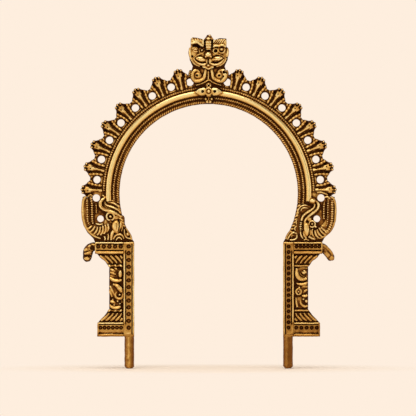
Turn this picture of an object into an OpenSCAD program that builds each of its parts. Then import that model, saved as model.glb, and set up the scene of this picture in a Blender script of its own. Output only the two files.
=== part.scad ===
// A small brass prabhavali: the arch that stands behind a shrine figure on two pegs.
// Millimetres. +Z is up and the front faces -Y. The origin is midway between the peg
// axes, level with the underside of the plinths. Left and right are as seen from the front.

/* [Arch] */
// Radius of the opening, whose circle meets the top inner corners of the pilasters.
arch_r = 53.5; // [51:0.5:57]
// Height of the arch's centre above the pilasters.
arch_drop = 29.4; // [28:0.2:31]
// Thickness of the flat plates, back to front.
plate_t = 3.5; // [3:0.1:4.2]
// Width of the plain bright roll at its seat.
roll_w = 3.3; // [2.8:0.1:3.6]

/* [Flame fringe] */
// Diameter of the round piercings.
hole_d = 4.4; // [3.6:0.1:4.8]
// Height of a flame's tip above the pierced web.
flame_h = 5.1; // [4.4:0.1:6]

/* [Pilasters] */
// Height of a pilaster from the plinth's underside to the top rail's upper face.
pil_h = 56.6; // [54:0.2:62]
// Width of the punched stile along the opening.
stile_w = 6.2; // [6:0.1:7]
// How far the punched frame stands forward of the flat plates.
frame_proud = 1.3; // [0.8:0.1:1.8]

/* [Pegs] */
// Diameter of a peg.
peg_d = 5.8; // [5:0.1:6]
// Length of a peg below the plinth.
peg_l = 19; // [12:0.5:30]

/* [Hidden] */
$fn = 64;
// The flat back, and the front faces of the plates and of the punched frame.
back_y = 2.6;
seat_y = back_y - plate_t;
frame_y = seat_y - frame_proud;
arch_z = pil_h + arch_drop;
// Half the clear width between the pilasters, and the outer face of the stile.
gap_x = sqrt(arch_r * arch_r - arch_drop * arch_drop);
stile_x = gap_x + stile_w;
// Rings of the arch, from the opening outwards.
rope_r = arch_r + 1.05;
bead_in_r = arch_r + 3.5;
roll_r = arch_r + 6.6;
bead_out_r = roll_r + 2.8;
band_r = bead_out_r + 1.55;
hole_r = band_r + 3;
spring_hole_r = hole_r - 0.75;
web_r = band_r + 7.25;
tip_r = web_r + flame_h;
// Where the band and webs, the roll, and the outer wire stop, in degrees below the arch's centre.
spring_a = 6.5;
roll_end_a = 4.6;
wire_end_a = -1;
// Flames, counted from the crown, in degrees from upright.
flames = 8;
flame_a0 = 14.2;
flame_da = 10.6;
// Heights in a pilaster.
rail_h = 7;
plinth_h = 8.4;
course_h = 8;
rail_z = pil_h - rail_h;
shaft_z0 = plinth_h + course_h;
shaft_z1 = rail_z - course_h;
shaft_w = 8.8;
rail_w = 17.3;
plinth_w = 15.9;
// The crown moves with the arch; this is how far from the height it was drawn at.
crown_dz = arch_z + web_r - 157.7;

// Every side piece is drawn on the right and mirrored for the left.
module on_side(s) {
    mirror([s < 0 ? 1 : 0, 0, 0]) children();
}

// Stands an outline of X and Z upright, from the front y0 to the back y1.
module upright_slab(y0, y1) {
    translate([0, y1, 0])
        rotate([90, 0, 0])
            linear_extrude(y1 - y0) children();
}

// Turns a section of radius and forward depth about the arch's centre, from +X towards +Z.
module turned(a0, a1) {
    translate([0, 0, arch_z])
        rotate([90, 0, 0])
            rotate([0, 0, a0])
                rotate_extrude(angle = a1 - a0, $fn = 180) children();
}

// Section of a round wire that is filed flat where it sits on the plates.
module wire_section(r, wire, lift) {
    difference() {
        translate([r, -seat_y + lift]) circle(wire);
        translate([r - 2 * wire, -seat_y - 3 * wire]) square([4 * wire, 3 * wire]);
    }
}

// A round drill through the plates.
module drill(x, z, d) {
    translate([x, back_y + 1, z])
        rotate([90, 0, 0]) cylinder(d = d, h = plate_t + 2);
}

// Where a piercing lies, in degrees from upright: midway between flames, but for those at the ends.
function hole_angle(i) =
    i == 0 ? 9.6 : i == 8 ? 92.4 : i == 9 ? 103.3 : flame_a0 - flame_da / 2 + i * flame_da;
function hole_at(i) =
    let (r = i == 9 ? spring_hole_r : hole_r)
    [r * sin(hole_angle(i)), arch_z + r * cos(hole_angle(i))];

// Blend between two numbers.
function mix(a, b, f) = a + (b - a) * f;

// Direction of a path at one of its points.
function along(p, i) = let (d = p[min(i + 1, len(p) - 1)] - p[max(i - 1, 0)]) d / norm(d);

// A spiral of X and Z about c, from radius r0 and angle a0 to r1 and a1.
function spiral(c, r0, r1, a0, a1, n) =
    [for (i = [0:n]) let (f = i / n, a = mix(a0, a1, f)) c + mix(r0, r1, f) * [cos(a), sin(a)]];

// A thread of wax laid on a flat seat: a path of X and Z, with half widths and rises that
// run from the first value to the second, and a swelling in the middle.
module thread(path, wide, rise, seat = seat_y, swell = 0) {
    n = len(path);
    across = [-1, -0.72, 0, 0.72, 1];
    up = [0, 0.72, 1, 0.72, 0];
    pts = [for (i = [0:n - 1])
        let (f = i / (n - 1), d = along(path, i), more = 1 + swell * sin(180 * f))
        let (w = mix(wide[0], wide[1], f) * more, h = mix(rise[0], rise[1], f) * more)
        for (k = [0:4]) [
            path[i][0] - d[1] * w * across[k],
            seat - h * up[k],
            path[i][1] + d[0] * w * across[k]
        ]];
    sides = [for (i = [0:n - 2], k = [0:4])
        let (a = 5 * i + k, b = 5 * i + (k + 1) % 5)
        each [[a, b, b + 5], [a, b + 5, a + 5]]];
    m = 5 * (n - 1);
    start = [[0, 2, 1], [0, 3, 2], [0, 4, 3]];
    end = [[m, m + 1, m + 2], [m, m + 2, m + 3], [m, m + 3, m + 4]];
    polyhedron(points = pts, faces = concat(sides, start, end));
}

// A domed pellet pressed on a flat seat, drawn out along its length and leaned over.
module pellet(x, z, r, rise, long = 1, lean = 0, seat = seat_y) {
    translate([x, seat, z])
        rotate([90, -lean, 0])
            scale([long, 1, 1])
                hull() {
                    cylinder(r = r, h = rise * 0.45, $fn = 14);
                    cylinder(r = r * 0.6, h = rise, $fn = 14);
                }
}

// A punched circle: a ring groove around a small boss.
module punch(x, z, r) {
    translate([x, frame_y - 1, z])
        rotate([-90, 0, 0])
            difference() {
                cylinder(r = r, h = 1.5);
                translate([0, 0, -1]) cylinder(r = r * 0.5, h = 4);
            }
}

// A scribed line along a bar of the punched frame.
module scribe(x0, x1, z0, z1) {
    translate([x0, frame_y - 1, z0]) cube([x1 - x0, 1.4, z1 - z0]);
}

// The flat curved strip that carries the mouldings of the arch.
module arch_band() {
    color("goldenrod")
        turned(-spring_a, 180 + spring_a)
            translate([arch_r, -back_y]) square([band_r - arch_r, plate_t]);
}

// The plain polished half-round that runs right round the arch.
module bright_roll() {
    color("gold")
        turned(-roll_end_a, 180 + roll_end_a)
            wire_section(roll_r, sqrt(roll_w * roll_w / 4 + 0.25), 0.5);
}

// Beaded wire outside the roll.
module outer_bead_wire() {
    color("goldenrod")
        turned(-wire_end_a, 180 + wire_end_a) wire_section(bead_out_r, 0.95, 0.25);
}

// Beaded wire inside the roll.
module inner_bead_wire() {
    color("goldenrod")
        turned(-spring_a, 180 + spring_a) wire_section(bead_in_r, 0.95, 0.25);
}

// Ribbed wire on the edge of the opening.
module rope_edge() {
    color("darkgoldenrod")
        turned(-spring_a, 180 + spring_a) wire_section(rope_r, 0.98, 0.2);
}

// Pierced strip outside the band, from the crown down to the springer.
module fringe_web(s) {
    color("darkgoldenrod") on_side(s)
        difference() {
            turned(-spring_a, 90)
                translate([band_r, -back_y]) square([web_r - band_r, plate_t]);
            for (i = [0:8]) drill(hole_at(i)[0], hole_at(i)[1], hole_d);
        }
}

// Outline of a flame's head, drawn upright with X across it and Y out from the arch's centre.
// foot is how far it spreads along the web on the side towards the springer.
module flame_head(foot) {
    polygon([
        [-5.2, web_r - 1], [foot, web_r - 1], [foot, web_r + 0.3],
        [3.3, web_r + flame_h * 0.38], [2.1, tip_r - 1.1],
        [-2.1, tip_r - 1.1], [-3.3, web_r + flame_h * 0.38], [-5.2, web_r + 0.3]
    ]);
    translate([0, tip_r - 0.9]) circle(0.9);
    translate([-1.45, tip_r - 1.2]) circle(0.75);
    translate([1.45, tip_r - 1.2]) circle(0.75);
}

// One flame: a lobed head outside the web, with a ridged bud and two side leaves that lap
// over the web's front and curl round the piercings. The last one has no lower leaf, because
// the plume rises there.
module flame(s, i) {
    last = i == flames;
    color("goldenrod") on_side(s)
        translate([0, 0, arch_z])
            rotate([0, flame_a0 + flame_da * (i - 1), 0]) {
                difference() {
                    upright_slab(seat_y, back_y - 0.5) flame_head(last ? 3.4 : 5.2);
                    rotate([90, 0, 0]) cylinder(r = web_r, h = 40, center = true, $fn = 180);
                }
                bud = [for (r = [band_r + 0.7, band_r + 3.4, web_r - 0.6, tip_r - 2, tip_r - 0.5]) [0, r]];
                thread(bud, [1, 1.7], [1.5, 2.2], swell = 0.2);
                for (m = last ? [-1] : [-1, 1]) {
                    leaf = [
                        [m * 2.6, band_r + 0.8], [m * 2.9, band_r + 2.7],
                        [m * 3.5, band_r + 5], [m * 4.6, web_r + 0.2]
                    ];
                    thread(leaf, [0.55, 0.5], [0.9, 0.8], swell = 0.5);
                }
            }
}

// Outline of the plate behind the mask, drawn where the mask was measured.
module crown_outline() {
    half = [
        [9.8, 155], [10.8, 158.6], [9.6, 162.2], [11.4, 166], [11.8, 170.6],
        [10.8, 174], [10.7, 178.8], [6.4, 179], [2.7, 177.6]
    ];
    other = [for (i = [len(half) - 1:-1:0]) [-half[i][0], half[i][1]]];
    polygon(concat(half, [[0.9, 181], [-0.9, 181]], other));
}

// Flat plate that stands on the outer edge of the two webs.
module crown_plate() {
    color("darkgoldenrod")
        difference() {
            translate([0, 0, crown_dz]) upright_slab(seat_y, back_y) crown_outline();
            translate([0, 0, arch_z])
                rotate([90, 0, 0]) cylinder(r = web_r, h = 40, center = true, $fn = 180);
        }
}

// Lion-like mask in relief: ridged crest and brows, bulging eyes, nose, cheeks and chin.
module kirtimukha() {
    color("gold") translate([0, 0, crown_dz]) {
        pellet(0, 168.6, 8.4, 3.4);
        pellet(0, 163.6, 3, 3.2);
        pellet(0, 161.7, 1.5, 3.4);
        pellet(0, 168, 2.4, 7);
        thread([[0, 170.6], [0, 174], [0, 178], [0, 181.2]], [2, 0.8], [5, 2.6]);
        for (m = [-1, 1]) {
            pellet(m * 7.3, 171.9, 1.75, 5.2);
            pellet(m * 4.2, 170.9, 1.5, 5);
            pellet(m * 4.6, 165.7, 2, 5.2, 1.5, m * 18);
            brow = [[m * 2, 173.2], [m * 5.6, 174.9], [m * 9.2, 174.4], [m * 11, 172.2]];
            ear = [[m * 10.5, 172.6], [m * 11.9, 169.8], [m * 11, 166.4]];
            smile = [[m * 6.8, 164.6], [m * 3.8, 162.8], [m * 0.4, 162.2]];
            thread(brow, [1.1, 0.8], [5, 3]);
            thread(ear, [0.8, 0.9], [2.6, 2.2], swell = 0.4);
            thread(smile, [0.7, 0.7], [3.2, 3.4]);
            for (x = [3.4, 5.9, 8.4]) {
                lock = [[m * x, 174.6], [m * (x + 0.2), 177], [m * (x + 0.5), 178.8]];
                thread(lock, [1.15, 0.9], [3.6, 2.4]);
            }
        }
    }
}

// Rolled scroll under the mask: a ridge beside the chin that turns out into a spiral.
module collar_scroll(s) {
    color("goldenrod") on_side(s) translate([0, 0, crown_dz]) {
        coil = spiral([6.5, 156.6], 4.3, 1.25, 180, 620, 15);
        thread(concat([[2.2, 159.9], [2.2, 158]], coil), [0.95, 0.6], [2.6, 2.6]);
        pellet(6.5, 156.6, 0.75, 2.8);
    }
}

// The mouldings under the crown flower, which the flower and bud are fitted over.
module crown_seat() {
    turned(60, 120) {
        wire_section(roll_r, sqrt(roll_w * roll_w / 4 + 0.25), 0.5);
        wire_section(bead_out_r, 0.95, 0.25);
        wire_section(bead_in_r, 0.95, 0.25);
        wire_section(rope_r, 0.98, 0.2);
    }
}

// Outline of one petal, the lens where two circles cross, from the flower's centre along +X.
module petal(long, wide) {
    r = (long * long / 4 + wide * wide / 4) / wide;
    intersection() {
        translate([long / 2, r - wide / 2]) circle(r);
        translate([long / 2, wide / 2 - r]) circle(r);
    }
}

// Four-petalled flower with a ringed boss, saddled over the roll at the crown.
module crown_flower() {
    color("gold")
        difference() {
            translate([0, seat_y, arch_z + roll_r + 0.8])
                rotate([90, 0, 0]) {
                    linear_extrude(3.6) {
                        petal(7.8, 4.4);
                        mirror([1, 0]) petal(7.8, 4.4);
                        rotate(90) petal(5.2, 4.6);
                        rotate(-90) petal(3, 3.6);
                    }
                    cylinder(r = 1.6, h = 4.6);
                }
            crown_seat();
        }
}

// Round bud that hangs below the flower on the inner wires.
module crown_bud() {
    color("gold")
        difference() {
            translate([0, seat_y - 0.9, arch_z + arch_r + 2.4]) sphere(2, $fn = 200);
            crown_seat();
            turned(60, 120)
                translate([arch_r - 9, -back_y - 9]) square([20, plate_t + 9]);
        }
}

// Maps a point of the springer, drawn for the default sizes, to the present ones.
function sp(p) =
    let (f = (p[1] - 56.6) / 29.4)
    [p[0] + mix(gap_x - 44.7, arch_r - 53.5, f), pil_h + f * arch_drop];
function sps(list) = [for (p = list) sp(p)];

// Flat plate between the arch's foot and the pilaster, cut to the opening's circle.
module springer(s) {
    color("darkgoldenrod") on_side(s)
        difference() {
            upright_slab(seat_y, back_y)
                polygon(concat(
                    [[gap_x - 3, pil_h], [stile_x + rail_w, pil_h]],
                    sps([[69.4, 59.1], [72.8, 62.4], [74.9, 66.6]]),
                    sps([[75.6, 71.5], [75.6, 84], [71.8, 83]]),
                    [[arch_r - 4, arch_z - 6]]
                ));
            turned(-spring_a, 60)
                translate([1, -back_y - 1]) square([web_r - 1, plate_t + 2]);
            translate([0, 0, arch_z])
                rotate([90, 0, 0]) cylinder(r = arch_r, h = 40, center = true, $fn = 180);
            drill(hole_at(9)[0], hole_at(9)[1], hole_d - 0.4);
        }
}

// A pellet of the springer's relief.
module sp_pellet(p, r, rise, long = 1, lean = 0) {
    at = sp(p);
    pellet(at[0], at[1], r, rise, long, lean);
}

// Beast in relief: raised trunk, ringed eye, swelling cheek, lip curls and curled feet.
module makara(s) {
    left = s < 0;
    // The left trunk rises in one sweep; the right one is more of an S with a ball at its end.
    trunk_left = [
        [55.4, 73.4], [57.4, 75.8], [60.6, 76.6], [63.3, 77.6],
        [64.3, 79.7], [63.7, 81.6], [62.9, 83]
    ];
    trunk_right = [
        [55.8, 66.8], [56.8, 69.8], [59, 72.4], [62, 74.6],
        [64.2, 76.6], [64.4, 79], [63.3, 80.5]
    ];
    trunk = left ? trunk_left : trunk_right;
    eye = left ? [59.4, 72] : [61.2, 68];
    lip = [[57.4, 75.4], [58.4, 77.4], [60.4, 78.3], [62, 79.3], [61.7, 80.6]];
    curl = [[57.4, 75.4], [57.2, 77.3], [58, 78.9], [59.2, 78.9]];
    near_foot = [[59.6, 65.4], [61.4, 63.4], [61.2, 60.8], [58.8, 59.3], [56.4, 60]];
    far_foot = [[57.6, 62.6], [55.4, 63.8], [53.2, 63.1], [52.6, 61], [54.2, 59.2]];
    color("gold") on_side(s) {
        sp_pellet(eye, left ? 2.1 : 1.8, 3.2);
        sp_pellet(eye, 1, 4.2);
        sp_pellet(left ? [56, 66.4] : [59.2, 63.6], 2.7, 4.4, 1.35, left ? 90 : 105);
        sp_pellet(trunk[6], left ? 1 : 1.5, left ? 2.4 : 3.6);
        sp_pellet([56.4, 72], 1.6, 2.8);
        sp_pellet([57.4, 70.4], 1.5, 2.8);
        sp_pellet([59.6, 67.6], 2.2, 2.8);
        sp_pellet([58.4, 60.6], 1.3, 2.8);
        sp_pellet([53.3, 61.4], 1.3, 2.6);
        thread(sps(trunk), [1.35, 0.95], [3.2, 2.6], swell = 0.15);
        thread(sps(lip), [0.8, 0.5], [2.4, 2]);
        thread(sps(curl), [0.7, 0.5], [2.2, 1.8]);
        thread(sps(near_foot), [0.8, 0.6], [2.6, 2.2]);
        thread(sps(far_foot), [0.8, 0.6], [2.4, 2]);
    }
}

// Ribbed tail of the beast, four ribs that rise at the outer side and fan in to the body.
module plume(s) {
    outer = [[74.6, 83.4], [74.8, 77], [74.8, 71], [73.6, 66], [70.4, 62], [66.8, 60], [63.4, 59.6]];
    inner = [[68.2, 79.6], [68.3, 76], [68.3, 72.6], [67.6, 69.2], [66.2, 67], [65, 66], [64, 65.6]];
    tops = [83.4, 83, 80.4, 79.6];
    ribs = [for (k = [0:3])
        [for (i = [0:6]) let (p = outer[i] + (inner[i] - outer[i]) * k / 3) i == 0 ? [p[0], tops[k]] : p]];
    color("goldenrod") on_side(s)
        for (k = [0:3]) {
            thread(sps(ribs[k]), [0.75, 0.9], [2.2 + 0.3 * k, 2.2], swell = 0.38);
            pellet(sp(ribs[k][0])[0], sp(ribs[k][0])[1], 0.85, 2.2);
            pellet(sp(ribs[k][6])[0], sp(ribs[k][6])[1], 1, 2.4);
        }
}

// Ribbed cord that carries the opening's edge from the arch down to the pilaster.
module edge_cord(s) {
    color("goldenrod") on_side(s)
        turned(-acos(gap_x / arch_r) + 1.2, -spring_a) wire_section(rope_r, 1, 0.2);
}

// Rings of a round rod swept along a path of X and Z, with a radius at each point.
module rod(path, radii, y) {
    n = len(path);
    sides = 14;
    pts = [for (i = [0:n - 1]) let (d = along(path, i))
        for (k = [0:sides - 1]) let (a = 360 * k / sides) [
            path[i][0] - d[1] * radii[i] * cos(a),
            y + radii[i] * 0.86 * sin(a),
            path[i][1] + d[0] * radii[i] * cos(a)
        ]];
    walls = [for (i = [0:n - 2], k = [0:sides - 1])
        let (a = sides * i + k, b = sides * i + (k + 1) % sides)
        each [[a, b + sides, b], [a, a + sides, b + sides]]];
    m = sides * (n - 1);
    caps = [for (k = [1:sides - 2]) each [[0, k, k + 1], [m, m + k + 1, m + k]]];
    polyhedron(points = pts, faces = concat(walls, caps));
}

// Bracket on the end of the top rail: a drooping bud on the left, a stub with a ball on the right.
module bracket(s) {
    droop = [[0, 4.2], [1.6, 4.3], [3.4, 3.4], [4.8, 1.2], [5.2, -1.8], [5, -4.2], [4.8, -5.2]];
    stub = [[0, 4], [1.2, 3.4], [3.2, 1], [4.4, -0.6], [5.4, -2], [6.2, -3.2], [6.6, -3.9]];
    radii = s < 0 ? [2.5, 2.6, 2.9, 3.05, 2.8, 2.2, 1.2] : [2.5, 2.55, 2.5, 2.45, 2.45, 2.3, 1.2];
    path = [for (p = s < 0 ? droop : stub) [stile_x + rail_w + p[0] - 0.6, rail_z + p[1]]];
    color("goldenrod") on_side(s)
        difference() {
            rod(path, radii, 0.2);
            translate([stile_x, -20, rail_z - 20]) cube([rail_w, 40, 40]);
        }
}

// Punched stile along the opening that runs down into a round peg with an eased end.
module upright(s) {
    count = s < 0 ? 13 : 16;
    z0 = plinth_h * 0.64;
    z1 = pil_h - 2.6;
    color("goldenrod") on_side(s) {
        difference() {
            translate([gap_x, frame_y, 0]) cube([stile_w, back_y - frame_y, pil_h]);
            for (i = [0:count - 1]) {
                z = mix(z0, z1, i / (count - 1));
                punch(gap_x + stile_w * 0.52, z, s < 0 ? 1.35 : 1.2);
            }
            scribe(stile_x - 1.2, stile_x - 0.8, plinth_h, rail_z + 1.7);
            if (s > 0) scribe(gap_x + 1, gap_x + 1.4, 2.4, pil_h - 0.8);
        }
        translate([gap_x + peg_d / 2, 0, 1.2 - peg_l]) cylinder(d = peg_d, h = peg_l - 1.2);
        translate([gap_x + peg_d / 2, 0, -peg_l]) cylinder(d1 = peg_d - 2, d2 = peg_d, h = 1.2);
    }
}

// Punched bar over the capital, with a plain lip along its lower edge.
module top_rail(s) {
    count = s < 0 ? 5 : 7;
    color("goldenrod") on_side(s)
        difference() {
            translate([stile_x, frame_y, rail_z]) cube([rail_w, back_y - frame_y, rail_h]);
            for (i = [0:count - 1]) {
                x = stile_x + mix(1.8, rail_w - 1.9, i / (count - 1));
                punch(x, pil_h - 2.6, s < 0 ? 1.35 : 1.1);
            }
            scribe(stile_x + 0.5, stile_x + rail_w - 0.8, rail_z + 1.7, rail_z + 2.2);
        }
}

// A course of slanting leaves, from its wide edge at the frame to its narrow edge at the shaft,
// where a plain fillet ends it.
module leaf_course(wide_x, wide_z, narrow_z) {
    up = wide_z > narrow_z ? 1 : -1;
    narrow_x = stile_x + shaft_w;
    mid = [narrow_x + 2.6, mix(narrow_z, wide_z, 0.46)];
    upright_slab(seat_y, back_y)
        polygon([
            [stile_x, wide_z], [wide_x, wide_z],
            [mix(mid[0], wide_x, 0.55), mix(mid[1], wide_z, 0.5)],
            mid, [narrow_x, narrow_z], [stile_x, narrow_z]
        ]);
    for (k = [0:5]) {
        x0 = mix(stile_x + 1.3, narrow_x + 1, k / 5);
        x1 = mix(stile_x + 2, wide_x - 2.2, k / 5);
        z0 = wide_z - up * 5;
        z1 = wide_z - up * 1.1;
        leaf = [[x0, z0], [mix(x0, x1, 0.5), mix(z0, z1, 0.5)], [x1, z1]];
        thread(leaf, [0.75, 0.95], [1.2, 1.6], swell = 0.15);
    }
    fillet_z = narrow_z + up * 1.1;
    thread([[stile_x + 0.6, fillet_z], [narrow_x, fillet_z]], [0.9, 0.8], [1.1, 1]);
}

// Splayed leaves under the top rail.
module capital(s) {
    color("goldenrod") on_side(s) leaf_course(stile_x + rail_w - 1.2, rail_z, shaft_z1);
}

// Splayed leaves on the plinth.
module leaf_base(s) {
    color("goldenrod") on_side(s) leaf_course(stile_x + plinth_w - 0.4, plinth_h, shaft_z0);
}

// Plain sunk shaft between the two leaf courses.
module shaft(s) {
    color("darkgoldenrod") on_side(s)
        translate([stile_x, seat_y + 0.4, shaft_z0])
            cube([shaft_w, plate_t - 0.4, shaft_z1 - shaft_z0]);
}

// Vine scroll laid on the shaft: a waving stem with a leafy curl and a berry in each bend.
module shaft_scroll(s) {
    tall = shaft_z1 - shaft_z0;
    mid_x = stile_x + shaft_w / 2;
    seat = seat_y + 0.4;
    stem = [for (i = [0:16])
        [mid_x + 2.2 * sin(i * 540 / 16), shaft_z0 + 1 + (tall - 2) * i / 16]];
    color("goldenrod") on_side(s) {
        thread(stem, [0.85, 0.75], [2.2, 2], seat);
        for (k = [0:2]) {
            turn = k % 2 == 0 ? -1 : 1;
            c = [mid_x + turn * 1.5, shaft_z0 + 1 + (tall - 2) * (k + 0.5) / 3];
            pellet(c[0], c[1], 1.1, 2.6, 1, 0, seat);
            curl = [for (j = [0:8])
                let (a = 200 - 38 * j) c + (2.5 - 0.14 * j) * [turn * cos(a), sin(a)]];
            thread(curl, [0.6, 0.5], [1.9, 1.7], seat);
            stalk = [c, c + [-turn * 1.4, 0.4], c + [-turn * 3, 0.2]];
            thread(stalk, [0.5, 0.6], [1.8, 1.6], seat);
        }
    }
}

// Punched bar at the foot, with a scribed line under its circles.
module plinth(s) {
    count = s < 0 ? 6 : 5;
    color("goldenrod") on_side(s)
        difference() {
            translate([stile_x, frame_y, 0]) cube([plinth_w, back_y - frame_y, plinth_h]);
            for (i = [0:count - 1])
                punch(stile_x + mix(1.6, plinth_w - 1.9, i / (count - 1)), plinth_h * 0.64, 1.2);
            scribe(stile_x + 0.4, stile_x + plinth_w - 0.8, 2.4, 2.9);
        }
}

arch_band();
bright_roll();
outer_bead_wire();
inner_bead_wire();
rope_edge();
fringe_web(-1);  // fringe_web_left
fringe_web(1);  // fringe_web_right
for (i = [1:flames]) {
    flame(-1, i);
    flame(1, i);
}
crown_plate();
kirtimukha();
collar_scroll(-1);  // collar_scroll_left
collar_scroll(1);  // collar_scroll_right
crown_flower();
crown_bud();
springer(-1);  // springer_left
springer(1);  // springer_right
makara(-1);  // makara_left
makara(1);  // makara_right
plume(-1);  // plume_left
plume(1);  // plume_right
edge_cord(-1);  // edge_cord_left
edge_cord(1);  // edge_cord_right
bracket(-1);  // bracket_left
bracket(1);  // bracket_right
upright(-1);  // upright_left
upright(1);  // upright_right
top_rail(-1);  // top_rail_left
top_rail(1);  // top_rail_right
capital(-1);  // capital_left
capital(1);  // capital_right
shaft(-1);  // shaft_left
shaft(1);  // shaft_right
shaft_scroll(-1);  // shaft_scroll_left
shaft_scroll(1);  // shaft_scroll_right
leaf_base(-1);  // leaf_base_left
leaf_base(1);  // leaf_base_right
plinth(-1);  // plinth_left
plinth(1);  // plinth_right
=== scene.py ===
import math

import bpy
import numpy as np
from mathutils import Matrix, Vector, noise


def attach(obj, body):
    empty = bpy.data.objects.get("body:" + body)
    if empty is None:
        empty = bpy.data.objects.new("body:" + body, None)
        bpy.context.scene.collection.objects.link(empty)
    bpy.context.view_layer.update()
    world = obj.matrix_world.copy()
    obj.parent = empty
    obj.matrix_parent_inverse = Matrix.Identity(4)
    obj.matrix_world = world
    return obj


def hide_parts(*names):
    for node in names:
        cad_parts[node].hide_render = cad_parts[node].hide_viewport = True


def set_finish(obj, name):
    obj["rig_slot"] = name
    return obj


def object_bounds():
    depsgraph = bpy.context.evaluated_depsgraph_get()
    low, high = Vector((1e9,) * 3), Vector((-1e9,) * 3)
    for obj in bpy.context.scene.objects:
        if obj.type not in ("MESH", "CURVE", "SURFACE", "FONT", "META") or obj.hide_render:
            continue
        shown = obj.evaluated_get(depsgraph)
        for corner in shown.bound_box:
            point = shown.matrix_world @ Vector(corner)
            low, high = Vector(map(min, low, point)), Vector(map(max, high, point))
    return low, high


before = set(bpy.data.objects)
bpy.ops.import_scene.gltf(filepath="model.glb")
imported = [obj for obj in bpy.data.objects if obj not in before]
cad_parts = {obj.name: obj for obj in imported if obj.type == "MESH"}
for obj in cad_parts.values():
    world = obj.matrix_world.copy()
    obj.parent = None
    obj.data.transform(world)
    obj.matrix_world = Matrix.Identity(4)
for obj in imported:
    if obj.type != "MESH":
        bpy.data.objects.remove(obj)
cad_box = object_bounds()

# Bright roll. The plain half-round moulding round the arch, drawn in brass and polished; it
# sits on the band between the two beaded wires.
# Colours from patina brown to rubbed metal; the top ones also give the roll and the pegs their
# painted highlight.
BROWN = (0.210, 0.075, 0.0125)
GOLD = (0.535, 0.272, 0.057)
RUBBED_AND_HIGHLIGHT = (0.795, 0.510, 0.160)
BRIGHT = (0.930, 0.725, 0.330)
BLOTCHES, GRAINS, DENT_DEPTH = 230.0, 1900.0, 0.0002
MM = 0.001
PLATE_Y = -0.9
ARCH_Z = 86.0
ROLL_R, ROLL_WIRE, ROLL_LIFT, ROLL_END, ROLL_STEPS = 60.1, 1.72, 0.5, 94.6, 400
WIRE_SIDES = 24
SMOOTH_UP_TO = 50


def add_node(tree, kind, settings=None, **sockets):
    """Adds a shader node, with its settings and what goes into its sockets."""
    made = tree.nodes.new("ShaderNode" + kind)
    for key, value in (settings or {}).items():
        setattr(made, key, value)
    for key, value in sockets.items():
        socket = made.inputs[int(key[1:]) if key[1:].isdigit() else key.replace("_", " ")]
        if isinstance(value, bpy.types.NodeSocket):
            tree.links.new(value, socket)
        else:
            socket.default_value = value
    return made


def maths(tree, operation, *values, clamp=False):
    """The result of a sum in a shader."""
    sockets = {f"_{i}": value for i, value in enumerate(values)}
    settings = {"operation": operation, "use_clamp": clamp}
    return add_node(tree, "Math", settings, **sockets).outputs[0]


def old_brass(name, colours, rough, mottle=0.5, grain=0.2, dents=0.1):
    """Old brass: colours run from the dark recess to the rubbed high spot, rough does too.

    How far a place is rubbed, from 0 to 1, is kept with the mesh, and on some pieces painted
    highlight and shade are added to it; mottle and grain are how much blotches and fine casting
    grain shift it, dents how deep they go.
    """
    material = bpy.data.materials.new(name)
    material.use_nodes = True
    tree = material.node_tree
    shader = tree.nodes["Principled BSDF"]
    place = add_node(tree, "TexCoord").outputs["Object"]
    blotch = add_node(tree, "TexNoise", Vector=place, Scale=BLOTCHES, Detail=5.0, Roughness=0.6)
    fine = add_node(tree, "TexNoise", Vector=place, Scale=GRAINS, Detail=3.0, Roughness=0.6)
    shift = maths(tree, "MULTIPLY_ADD", blotch.outputs["Fac"], mottle, -mottle / 2)
    speck = maths(tree, "MULTIPLY_ADD", fine.outputs["Fac"], grain, shift)
    wear_and_light = add_node(tree, "Attribute", {"attribute_name": "wear_and_painted_light"}).outputs["Fac"]
    level = maths(tree, "SUBTRACT", maths(tree, "ADD", wear_and_light, speck), grain / 2, clamp=True)
    ramp = add_node(tree, "ValToRGB", Fac=level)
    stops = ramp.color_ramp.elements
    for i, (at, colour) in enumerate(colours):
        stop = stops[i] if i < 2 else stops.new(at)
        stop.position = at
        stop.color = (*colour, 1)
    tree.links.new(ramp.outputs["Color"], shader.inputs["Base Color"])
    dull = add_node(tree, "MapRange", Value=level, To_Min=rough[0], To_Max=rough[1])
    tree.links.new(dull.outputs["Result"], shader.inputs["Roughness"])
    bump = add_node(tree, "Bump", Height=speck, Strength=dents, Distance=DENT_DEPTH)
    tree.links.new(bump.outputs["Normal"], shader.inputs["Normal"])
    shader.inputs["Metallic"].default_value = 1.0
    return material


def arch_point(radius, angle):
    """X and Z at a radius from the arch's centre, at an angle from upright in degrees."""
    a = math.radians(angle)
    return radius * math.sin(a), ARCH_Z + radius * math.cos(a)


def spin_wire(radius, wire, lift, end, steps):
    """A round wire filed flat where it sits on the band, bent round the arch to both ends."""
    x, z = arch_point(radius, -end)
    bpy.ops.object.select_all(action="DESELECT")
    bpy.ops.mesh.primitive_circle_add(
        vertices=WIRE_SIDES, radius=wire, location=(x, PLATE_Y - lift, z),
        rotation=(0, math.pi / 2 + math.radians(-end), 0), enter_editmode=True)
    bpy.ops.mesh.bisect(plane_co=(0, PLATE_Y, 0), plane_no=(0, 1, 0), clear_outer=True)
    bpy.ops.mesh.select_all(action="SELECT")
    bpy.ops.mesh.edge_face_add()
    bpy.ops.mesh.delete(type="ONLY_FACE")
    bpy.ops.mesh.select_all(action="SELECT")
    bpy.ops.mesh.spin(steps=steps, angle=math.radians(-2 * end),
                      center=(0, 0, ARCH_Z), axis=(0, 1, 0))
    bpy.ops.mesh.select_all(action="SELECT")
    bpy.ops.mesh.fill_holes(sides=0)
    bpy.ops.mesh.normals_make_consistent(inside=False)
    bpy.ops.object.mode_set(mode="OBJECT")
    return bpy.context.object


def pick(*pieces):
    """Selects these pieces alone, the first of them active."""
    bpy.ops.object.select_all(action="DESELECT")
    for piece in pieces:
        piece.select_set(True)
    bpy.context.view_layer.objects.active = pieces[0]


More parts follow.
